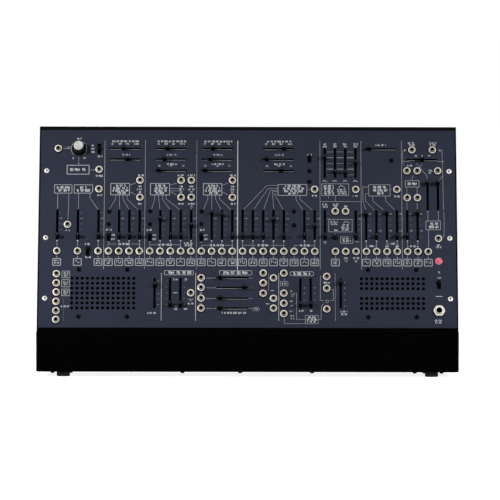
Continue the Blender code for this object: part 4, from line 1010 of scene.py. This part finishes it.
# Tone, height and stroke of each kind of label
textStyles = {
    "text": ("Bright", 1.85, 0.46), "plain": ("Plain", 1.85, 0.46), "scale": ("Bright", 1.6, 0.46),
    "heading": ("Bright", 1.8, 0.54), "tall": ("Bright", 2.0, 0.46), "code": ("Bright", 2.2, 0.70),
    "box": ("Bright", 2.5, 0.82), "preamp": ("Bright", 2.7, 0.88), "title": ("Bright", 2.9, 0.95),
    "firm": ("Bright", 1.9, 0.64), "firmPlain": ("Plain", 1.9, 0.64), "small": ("Plain", 1.4, 0.40),
    "socket": ("Bright", 1.7, 0.50), "socketPlain": ("Plain", 1.7, 0.50)}
series = "48 216 57 30 964 15 72 803 64 29 135 08 76 "
counted = 0


def label(column, row, length, style="text"):
    # A line of plain numbers as long as the lettering whose place it takes
    global counted
    tone, height, width = textStyles[style]
    count = max(1, round(length / (height * printing["digitStep"])))
    text = (series * 8)[counted % len(series):][:count]
    counted += count
    if text.strip() and count < 4:
        text = text.replace(" ", "7")
    number(tone, across(column), row, text, height, width)


def printed(frames=(), lines=(), strokes=(), dots=(), labels=()):
    # Lines are plain and of one width, strokes name their tone and width. A label is a column, then
    # the row and the length of each line under the last, then its style where that isn't text
    for frame in frames:
        frameBox(*frame)
    for line in lines:
        wire("Plain", printing["line"], *line)
    for line in strokes:
        wire(*line)
    for spot in dots:
        dot(*spot)
    for column, *numbers in labels:
        style = numbers.pop() if isinstance(numbers[-1], str) else "text"
        for row, length in zip(numbers[::2], numbers[1::2]):
            label(column, row, length, style)


waves = {
    "sine": [(0, 0.5), (0.12, 0.85), (0.25, 1), (0.38, 0.85), (0.5, 0.5), (0.62, 0.15), (0.75, 0),
             (0.88, 0.15), (1, 0.5)],
    "saw": [(0, 0), (0, 1), (1, 0), (1, 1)], "square": [(0, 0), (0, 1), (0.5, 1), (0.5, 0), (1, 0), (1, 1)],
    "triangle": [(0, 0), (0.5, 1), (1, 0)], "rise": [(0, 0), (0.35, 1), (0.6, 0.55), (0.8, 0.5), (1, 0)]}


def wave(kind, column, row, width, height):
    # The sign's points, from 0 to 1 both ways, spread round a middle
    points = (np.array(waves[kind]) - 0.5) * (width, height)
    stroke("Bright", points + (across(column), row), printing["wave"])


def arc(column, row, radius, first, last, width, steps=9):
    # Points of a circle between two angles in degrees
    angles = np.radians(np.linspace(first, last, steps))
    points = np.column_stack((np.cos(angles), np.sin(angles))) * radius
    stroke("Bright", points + (across(column), row), width)


# Left section
arc(2, rows["top"], 9.75, -52, 232, 0.4, 49)
printed(
    frames=((0.88, 199.3, 3.02, 211.0, 1.0), (-0.32, 174.4, 1.38, 185.3, 0.75, 0.4),
            (1.60, 174.4, 3.38, 185.3, 0.75, 0.4, 2.0)),
    lines=((0.41, 232.8, 1.20, 232.8), (2.01, 222.4, 2.01, 212.0), (3.05, 204.9, 3.6, 204.9),
           (3.38, 179.6, 3.62, 179.6), (1.08, 174.2, 1.08, 154.0, 1.02, 139.5), (2.04, 174.2, 2.04, 154.0),
           (3.15, 174.4, 3.15, 167.7, 3.95, 152.9)),
    strokes=(("Plain", 0.5, 0.01, 174.2, 0.01, 154.0),),
    dots=((2.01, 213.2, 0.6), (3.5, 204.9, 0.5), (0.01, 173.2, 0.55), (2.04, 173.2, 0.5, "Plain"),
          (3.15, 173.2, 0.5, "Plain")),
    labels=((2.02, 246.2, 5.4), (0.97, 234.2, 4.2, "plain"), (1.45, 220.2, 1.6), (2.55, 220.2, 3.4),
            (1.97, 205.3, 21.5, "preamp"), (4.0, 197.0, 8.2), (3.36, 237.1, 5.4, 232.6, 4.2, 228.5, 4.2),
            (4.02, 222.6, 7.4), (0.53, 181.9, 15, 178.0, 17, "box"), (2.49, 181.9, 8, 178.0, 17, "box"),
            (4.02, 171.9, 7.8), (1.03, 125.6, 6.5, "plain"), (3.0, 108.0, 8.0), (3.02, 90.7, 7.4)))

# Dividers between the sections, from a low to a high row: column and width; the widest is bright
for low, high, columns in (
        (75.2, 243.8, {4.54: 0.50, 8.50: 0.46, 13.52: 0.36, 17.51: 1.1, 25.53: 0.42, 29.53: 0.48,
                       33.49: 0.44}),
        (9.0, 70.6, {10.16: 0.72, 13.48: 0.85, 21.51: 0.75, 26.97: 0.35})):
    for column, width in columns.items():
        wire("Bright" if width > 1 else "Plain", width, column, low, column, high)

# Oscillators: middle of the faders, columns of the box, of the fan of lines under it and of the jacks
oscillators = (
    {"middle": 6.5, "third": False, "box": (5.16, 7.04), "jacks": (8,),
     "fan": ((5.64, 5.04), (6.0, 6.06), (6.36, 6.95), (6.75, 7.79))},
    {"middle": 11, "box": (9.02, 10.94), "jacks": (12, 13),
     "fan": ((9.45, 9.14), (9.83, 9.96), (10.19, 10.92), (10.55, 11.87))},
    {"middle": 15.5, "box": (14.18, 16.03), "jacks": (17,),
     "fan": ((14.61, 14.19), (14.99, 15.01), (15.37, 15.89), (15.76, 16.84))},
    {"middle": 21.5})


def oscillatorPrint(middle, box=None, fan=(), jacks=(), third=True):
    printed(labels=[(middle + 0.05, 242.6, 36 if fan else 30, "heading")]
            + [(middle + shift, 239.2, length, "scale") for shift, length in (
                (-1.21, 2.4), (-0.48, 4.0), (0.22, 4.4), (1.10, 5.4))]
            + [(middle + 0.05, 224.9, 12, "plain")])
    if third:
        printed(labels=[(middle + 0.03, 212.7, 15)]
                + [(middle + shift, 210.4, 3, "plain") for shift in (-1.15, 0.02, 1.18)])
    if box:
        left, right = box
        printed(frames=((left, 172.2, right - 0.06, 187.2, 0.9),),
                lines=[(start, 171.4, start, 166.8, end, 153.4) for start, end in fan]
                + [(right, 185.1, jacks[0] - 0.42, 187.9), (right, 176.4, jacks[0] - 0.42, 172.3)],
                dots=[(start, 171.0, 0.45) for start, _ in fan],
                labels=[((left + right) / 2, 184.4, 12, 181.0, 17, 177.8, 19, 174.8, 12, "code")])
    printed(labels=[(jack, 198.0, 9.5, 183.2, 4, 179.5, 8, 175.8, 3.4, 160.6, 8.0) for jack in jacks])


for layout in oscillators:
    oscillatorPrint(**layout)
wave("triangle", 13.02, 157.0, 3.0, 1.6)
printed(lines=((10.94, 180.6, 11.98, 180.6), (10.94, 177.6, 11.98, 177.6), (13.02, 155.8, 13.02, 153.4)))

# Filter
printed(
    frames=((21.44, 171.9, 24.24, 186.2, 0.75),),
    lines=((21.44, 184.9, 20.35, 184.9, 18.16, 154.0), (21.44, 181.0, 20.48, 181.0, 19.11, 154.0),
           (21.44, 178.5, 20.71, 178.5, 20.06, 154.0), (21.44, 176.8, 20.89, 176.8, 21.02, 154.0),
           (21.44, 173.7, 21.09, 173.7, 21.91, 154.0), (23.19, 171.9, 23.19, 166.8, 23.85, 152.9),
           (23.58, 171.9, 23.58, 166.8, 24.77, 152.9), (24.28, 179.5, 24.6, 179.5)),
    labels=((22.86, 184.0, 20, 180.8, 28, 177.4, 24, 174.4, 14, "code"), (24.49, 225.2, 6), (25.0, 171.6, 6)))

# Envelope and amplifier
envelopes = (26, 27, 28, 29)
ticks("Plain", 0.75, envelopes[:3], (221.5, 206.5), 0.18, 0.82)
ticks("Plain", 0.35, envelopes[:3], (229.1, 213.8, 198.9), 0.18, 0.82)
for column in envelopes:
    arc(column - 0.06, 189.6, 1.9, 15, 165, 0.75)
wave("rise", 27.65, 183.6, 8, 4)
printed(
    frames=((25.70, 171.9, 28.33, 187.2, 0.55), (30.27, 171.3, 32.34, 186.1, 0.55)),
    lines=((25.54, 163.9, 29.54, 163.9), (26.34, 171.9, 26.34, 168.4), (27.04, 171.9, 27.04, 163.9),
           (30.27, 183.2, 29.70, 183.2, 29.70, 164.9, 29.99, 153.0),
           (30.27, 174.1, 29.94, 174.1, 29.94, 164.9, 30.80, 153.0),
           (30.65, 171.3, 30.65, 164.9, 31.69, 153.0),
           (31.90, 171.3, 31.90, 164.9, 32.79, 153.4), (32.34, 179.5, 32.62, 179.5)),
    strokes=[("Plain", 0.45, column + 0.08, 190.8, column + 0.24, 189.9) for column in envelopes],
    dots=[(column, row, 0.4, "Plain") for column, row in (
        (29.70, 164.9), (29.94, 164.9), (30.65, 169.5), (31.90, 169.5), (23.19, 169.5), (23.58, 169.5))],
    labels=[(column, 239.3, 6.5, 236.2, 5.0) for column in envelopes]
    + [(26.38, 184.2, 12, 180.9, 12, 177.6, 10, 174.5, 12, "code"),
       (27.65, 179.6, 11, 176.9, 11, 174.2, 11, "scale"),
       (26.03, 160.1, 7, 157.1, 6), (27.02, 160.1, 7, 157.6, 4), (28.0, 157.6, 5), (29.0, 171.3, 7),
       (33.0, 170.8, 7), (31.45, 238.2, 13), (31.3, 182.9, 16, 178.7, 21, 174.6, 10, "box")])

# Outputs, mixer and reverb
for column, side in ((33.85, 1), (37.19, -1)):
    arrow = [(across(column) + x * side, 231.5 + y) for x, y in ((0.9, 0), (-0.9, 1.1), (-0.9, -1.1))]
    stroke("Bright", arrow, 0.4, True)
printed(
    frames=((33.84, 183.2, 35.17, 191.6, 0.6), (35.81, 127.3, 37.21, 138.8, 0.6)),
    lines=((33.61, 229.1, 33.61, 214.3, 33.78, 211.0), (37.36, 231.3, 37.45, 231.3, 37.53, 153.0),
           (33.61, 216.8, 34.25, 216.8), (36.95, 216.8, 37.53, 216.8),
           (34.93, 214.0, 35.94, 198.0, 35.96, 192.0), (35.51, 214.1, 35.23, 208.1),
           (34.67, 198.4, 34.50, 195.3, 34.50, 191.6), (37.48, 198.0, 37.09, 191.6),
           (33.61, 231.5, 33.61, 229.1), (37.57, 151.0, 37.57, 120.5, 37.2, 111.0),
           (36.05, 127.3, 36.05, 105.0), (36.0, 151.0, 36.0, 138.8),
           (37.03, 151.0, 37.03, 138.8), (33.98, 183.2, 33.98, 174.0), (34.98, 183.2, 34.98, 174.0),
           (33.98, 163.0, 33.98, 154.0), (34.98, 163.0, 34.98, 154.0)),
    dots=((33.61, 216.8, 0.6), (37.53, 216.8, 0.6), (36.0, 151.0, 0.6), (37.03, 151.0, 0.6)),
    labels=((34.48, 241.2, 9, 238.4, 7), (36.54, 241.2, 9, 238.4, 7), (34.87, 224.0, 3), (35.50, 224.0, 2),
            (36.18, 224.0, 3), (34.27, 211.3, 6), (36.25, 204.9, 6, 202.0, 6), (34.5, 187.5, 12, "box"),
            (36.5, 135.0, 12, 131.0, 14, "box"), (36.98, 107.1, 6, 104.6, 7)))

# Gates
wave("rise", 28.1, 137.0, 8, 3)
for column, row in ((26.0, 109.8), (29.10, 109.8), (28.05, 85.4), (29.0, 85.4)):
    arc(column, row, 2.2, 20, 160, 0.3)
printed(
    frames=((26.37, 124.4, 28.64, 140.6, 0.55), (27.51, 109.5, 28.70, 117.8, 0.5)),
    lines=((27.01, 122.6, 27.01, 120.6),),
    labels=((26.9, 137.3, 9, 134.4, 7), (28.0, 133.2, 11, 130.3, 11, 127.4, 11), (28.1, 115.4, 10, 112.2, 11),
            (26.0, 110.0, 2, "plain"), (29.10, 110.0, 2, "plain"), (28.05, 85.6, 2, "plain"),
            (29.0, 85.6, 2, "plain"), (28, 90.2, 7), (29, 90.2, 7), (27.02, 126.5, 6)))

# Main row: ticks, brackets, dots and the boxes under the jacks
scale = {"rows": (148.5, 141.3, 134.2, 126.6, 119.1), "signs": "97531", "bright": (1,),
         "tick": (0.19, 0.30), "faintTick": (0.19, 0.45), "tickWidth": 0.5,
         "laterFrom": 29, "laterBright": (0, 3), "laterDrop": 0.7,
         "number": {"shift": 5.1, "height": 1.4, "width": 0.4},
         "unlined": (26, 29), "dot": (112.4, 0.9), "stem": (112.6, 103.6)}
for column in mainFaders:
    later = column > scale["laterFrom"]
    for index, row in enumerate(scale["rows"]):
        bright = index in scale["laterBright" if later else "bright"]
        row -= later * scale["laterDrop"]
        if bright:
            digit = scale["number"]
            number("Bright", across(column) + digit["shift"], row, scale["signs"][index], digit["height"],
                   digit["width"])
        ticks("Plain" if bright else "Faint", scale["tickWidth"], (column,), (row,),
              *scale["tick" if bright else "faintTick"])
    if column not in scale["unlined"]:
        top, bottom = scale["stem"]
        printed(dots=((column, *scale["dot"]),), lines=((column, top, column, bottom),))
bracket = {"gap": 0.75, "gapShare": 0.28, "foot": 3.4, "margin": 2}  # Half gaps in columns
for left, right, row in ((4.94, 8.04, 108.0), (9.0, 11.96, 107.2), (14.03, 17.02, 106.7),
                         (17.99, 21.99, 106.7), (23.04, 24.99, 106.6), (30.05, 30.94, 105.9),
                         (32.06, 33.07, 109.0), (33.99, 35.05, 105.6)):
    middle, foot = (left + right) / 2, row - bracket["foot"]
    gap = min(bracket["gap"], (right - left) * bracket["gapShare"])
    printed(lines=((left, foot, left, row, middle - gap, row), (middle + gap, row, right, row, right, foot)),
            labels=((middle, row, gap * 2 * pitch - bracket["margin"], "firm"),))
printed(labels=((12.79, 109.0, 12, 106.3, 10), (32.03, 105.3, 5), (32.99, 105.3, 5)))

# Every third box holds a wave, and the others two lines of numbers
jackBox = {"bare": (28, 29), "half": 0.38, "low": 80.2, "high": 88.9, "width": 0.95, "corner": 0.8,
           "stem": (94.6, 89.8), "stemWidth": 0.5, "every": 3, "waves": ("sine", "square", "saw", "triangle"),
           "wave": (85.0, 5.4, 3.2), "labels": ((86.5, 6.4, "socketPlain"), (83.5, 5.0, "socket"))}
for index, column in enumerate(column for column in mainJacks if column not in jackBox["bare"]):
    top, bottom = jackBox["stem"]
    printed(frames=((column - jackBox["half"], jackBox["low"], column + jackBox["half"], jackBox["high"],
                     jackBox["width"], jackBox["corner"]),),
            strokes=(("Plain", jackBox["stemWidth"], column, top, column, bottom),))
    cycle, place = divmod(index, jackBox["every"])
    if place == 1:
        wave(jackBox["waves"][cycle % len(jackBox["waves"])], column, *jackBox["wave"])
    else:
        printed(labels=[(column, *words) for words in jackBox["labels"]])
for column in (5, 9, 14):
    printed(lines=((column - 0.1, 111.3, column, 109.6, column + 0.1, 111.3),),
            labels=((column, 126.5, 7.0), (column + 0.42, 119.7, 4, 114.4, 4)))

# Lower left: multiples and speaker
ticks("Plain", 0.5, (9.8,), (60.1, 52.8, 43.9, 36.7, 29.5), 0, 0.14)
printed(
    frames=[(0.52, low, 1.29, high, 0.65, 0.8) for low, high in ((64.0, 72.8), (52.4, 61.6), (40.9, 49.4))],
    lines=((0.0, 62.6, 0.0, 63.4),), strokes=(("Faint", 0.4, 0.72, 38.0, 0.72, 9.1),),
    labels=[(0.9, middle + 1.5, 6.8, middle - 1.6, 5.0, "firmPlain") for middle in (68.4, 57.0, 45.15)]
    + [(0.89, 27.3, 10), (9.22, 18.8, 10)])

# Noise
ticks("Plain", 0.4, (10.66, 12.38), (60.0, 52.5, 45.0, 37.5, 30.0), -0.05, 0.06)
for reach in (3.4, 2.2, 1.0):
    chevron = [(across(13.0) + x * reach, 37.4 + y * reach) for x, y in ((-1, 0), (0, -1), (1, 0))]
    stroke("Plain", chevron, 0.35)
printed(frames=((10.45, 68.2, 13.25, 73.7, 0.65, 0.8),), strokes=(("Bright", 0.8, 11.3, 45.0, 11.72, 45.0),),
        labels=((11.85, 71.0, 31, "title"), (11.53, 62.2, 6, "tall"), (12.51, 62.2, 4, "tall"),
                (11.59, 27.2, 3, 24.0, 6), (12.52, 24.0, 4), (12.97, 31.0, 7)))

# Processors
for row in processorRows[:3]:
    diamond = [(across(14) + x, row - 6.6 + y) for x, y in ((0, 1.2), (1.4, 0), (0, -1.2), (-1.4, 0))]
    stroke("Plain", diamond, 0.35, True)
ticks("Plain", 0.3, (18.62,), processorRows, 0, 0.38)
printed(
    frames=((15.77, 68.2, 18.90, 73.7, 0.65, 0.8), (19.0, 21.8, 19.64, 26.3, 0.4, 1.6)),
    lines=[(14.42, row, 15.30, row) for row in processorRows],
    strokes=(("Bright", 0.6, 17.52, 76.5, 17.52, 73.7), ("Plain", 0.35, 20.53, 70.0, 20.53, 47.6),
             ("Bright", 0.8, 20.75, 48.0, 21.05, 48.0), ("Bright", 0.8, 20.25, 30.9, 20.6, 30.9)),
    dots=[(15.40, row, 0.55) for row in processorRows],
    labels=((17.33, 71.0, 35, "title"), (16.04, 19.1, 2, "firm"), (16.62, 19.1, 9, "firm"),
            (17.29, 19.1, 4, "firm"), (17.77, 19.1, 4, "firm"), (18.22, 19.1, 3, "firm"), (19.3, 24.0, 4)))

# Sample and hold
arc(26.18, 34.3, 1.8, 0, 360, 0.35, 21)
ticks("Bright", 0.5, (23.98, 25.0), (51.5,), -0.06, 0.06)
ticks("Plain", 0.5, (23.98, 25.0), (44.4, 35.9), -0.06, 0.06)
ticks("Bright", 0.5, (27.88,), (51.5,), -0.07, 0.07)
ticks("Plain", 0.5, (27.88,), (58.9, 44.0, 35.9, 28.3), -0.07, 0.07)
printed(
    frames=((22.60, 67.3, 24.90, 72.6, 0.6, 2.4), (21.68, 54.2, 22.40, 59.8, 0.4),
            (24.07, 5.4, 25.32, 16.2, 0.5)),
    lines=((23.10, 44.8, 23.23, 44.8, 23.23, 10.8, 24.07, 10.8), (22.05, 13.2, 22.05, 5.6, 24.07, 5.6),
           (25.32, 10.8, 25.59, 10.8, 25.63, 27.8, 25.87, 31.5), (23.13, 31.1, 23.23, 31.1),
           (23.13, 18.3, 23.23, 18.3), (22.04, 64.2, 22.04, 59.8),
           (25.71, 66.4, 25.54, 66.4, 25.52, 35.4, 25.87, 35.4),
           (26.55, 49.4, 26.79, 49.4, 26.79, 35.4, 26.45, 35.4)),
    labels=((23.75, 69.9, 22, "title"), (22.04, 57.0, 6), (23.7, 21.9, 6), (24.62, 21.9, 6),
            (22.74, 47.2, 2, "small"),
            (22.86, 43.6, 5, "small"), (22.82, 40.9, 4, "small"), (22.76, 34.2, 4, "small"),
            (22.80, 28.6, 3, "small"), (22.74, 21.2, 4, "small"), (22.80, 15.6, 5, "small"),
            (22.84, 11.9, 5, "small"), (24.7, 13.6, 12, 10.7, 12, 7.9, 12, "firm"), (26.15, 58.4, 8),
            (27.8, 20.9, 9, 17.7, 7)))

# Right column
printed(strokes=(("Bright", 0.8, 36.88, 64.8, 37.24, 64.8), ("Bright", 0.8, 36.70, 40.9, 37.32, 40.9)),
        labels=((37.01, 72.0, 6), (36.96, 9.9, 11), (36.95, 7.0, 9)))

for tone, shapes in ink.items():
    piece(f"print{tone}", join(shapes), f"ink{tone}", sharp=60)
print("printing")


# Camera, floor and lights

lamps = {
    "keyLight": {"place": (0.0, -2.6, 2.4), "aim": (0, 0, 0.15), "size": (1.2, 0.7), "energy": 0.18},
    "frontLight": {"place": (-0.9, -2.8, 2.0), "aim": (-0.08, 0, 0.17), "size": (0.25, 0.25), "energy": 0.19,
                   "spread": 24},
    "leftLight": {"place": (-2.3, -2.6, 1.4), "aim": (-0.43, 0, 0.17), "size": (0.25, 0.25), "energy": 1.02,
                  "spread": 18},
    "rightLight": {"place": (2.3, -2.6, 1.4), "aim": (0.43, 0, 0.17), "size": (0.25, 0.25), "energy": 0.88,
                   "spread": 18},
    "backLight": {"place": (0.0, 1.8, 2.2), "aim": (0, 0, 0.1), "size": (3.0, 1.0), "energy": 15}}


def areaLight(name, place, aim, size, energy, spread=180):
    light = bpy.data.lights.new(name, "AREA")
    light.shape, light.size, light.size_y = "RECTANGLE", size[0], size[1]
    light.energy, light.spread = energy, radians(spread)
    item = bpy.data.objects.new(name, light)
    item.location = place
    item.rotation_euler = (Vector(aim) - Vector(place)).to_track_quat("-Z", "Y").to_euler()
    bpy.context.collection.objects.link(item)
    return item


lights = [areaLight(name, **layout) for name, layout in lamps.items()]
floorCorners = [(-6, -8, 0), (6, -8, 0), (6, 8, 0), (-6, 8, 0)]
floorMesh = bpy.data.meshes.new("floor")
floorMesh.from_pydata(floorCorners, [], [(0, 1, 2, 3)])
floor = bpy.data.objects.new("floor", floorMesh)
floorMesh.materials.append(materials["floorPaint"])
bpy.context.collection.objects.link(floor)

photograph = {"place": (0.0027, -5.5937, 0.2430), "turn": (pi / 2 - 0.0157, -0.0019, 0),
              "lens": 323.9, "sensor": 36, "farthest": 100}
camera = bpy.data.objects.new("camera", bpy.data.cameras.new("camera"))
camera.location = photograph["place"]
camera.rotation_euler = photograph["turn"]
camera.data.lens, camera.data.sensor_width = photograph["lens"], photograph["sensor"]
camera.data.clip_end = photograph["farthest"]
bpy.context.collection.objects.link(camera)
bpy.context.scene.camera = camera

# How bright the floor and the sky look to the camera, and how much the sky lights the object
background = {"floor": 0.86, "sky": 0.95, "skyLight": 0.05}


def whiteToCamera(tree):
    # 1 for the rays that show the background, straight or in metal and glass, and otherwise 0
    flow = Flow(tree)
    seen = [flow.make("ShaderNodeLightPath", output=f"Is {ray} Ray")
            for ray in ("Camera", "Glossy", "Transmission")]
    return (seen[0] + seen[1] + seen[2]).held()


floorTree = materials["floorPaint"].node_tree
floorShader = floorTree.nodes["Principled BSDF"]
floorShader.inputs["Emission Color"].default_value = colour(1)
floorGlow = whiteToCamera(floorTree) * background["floor"]
floorTree.links.new(floorGlow.socket, floorShader.inputs["Emission Strength"])

world = bpy.data.worlds.new("world")
bpy.context.scene.world = world
world.use_nodes = True
sky = world.node_tree.nodes["Background"]
sky.inputs["Color"].default_value = colour(1)
skyStrength = background["skyLight"] + whiteToCamera(world.node_tree) * background["sky"]
world.node_tree.links.new(skyStrength.socket, sky.inputs["Strength"])
bpy.context.scene.view_settings.view_transform = "Standard"
print("stage")
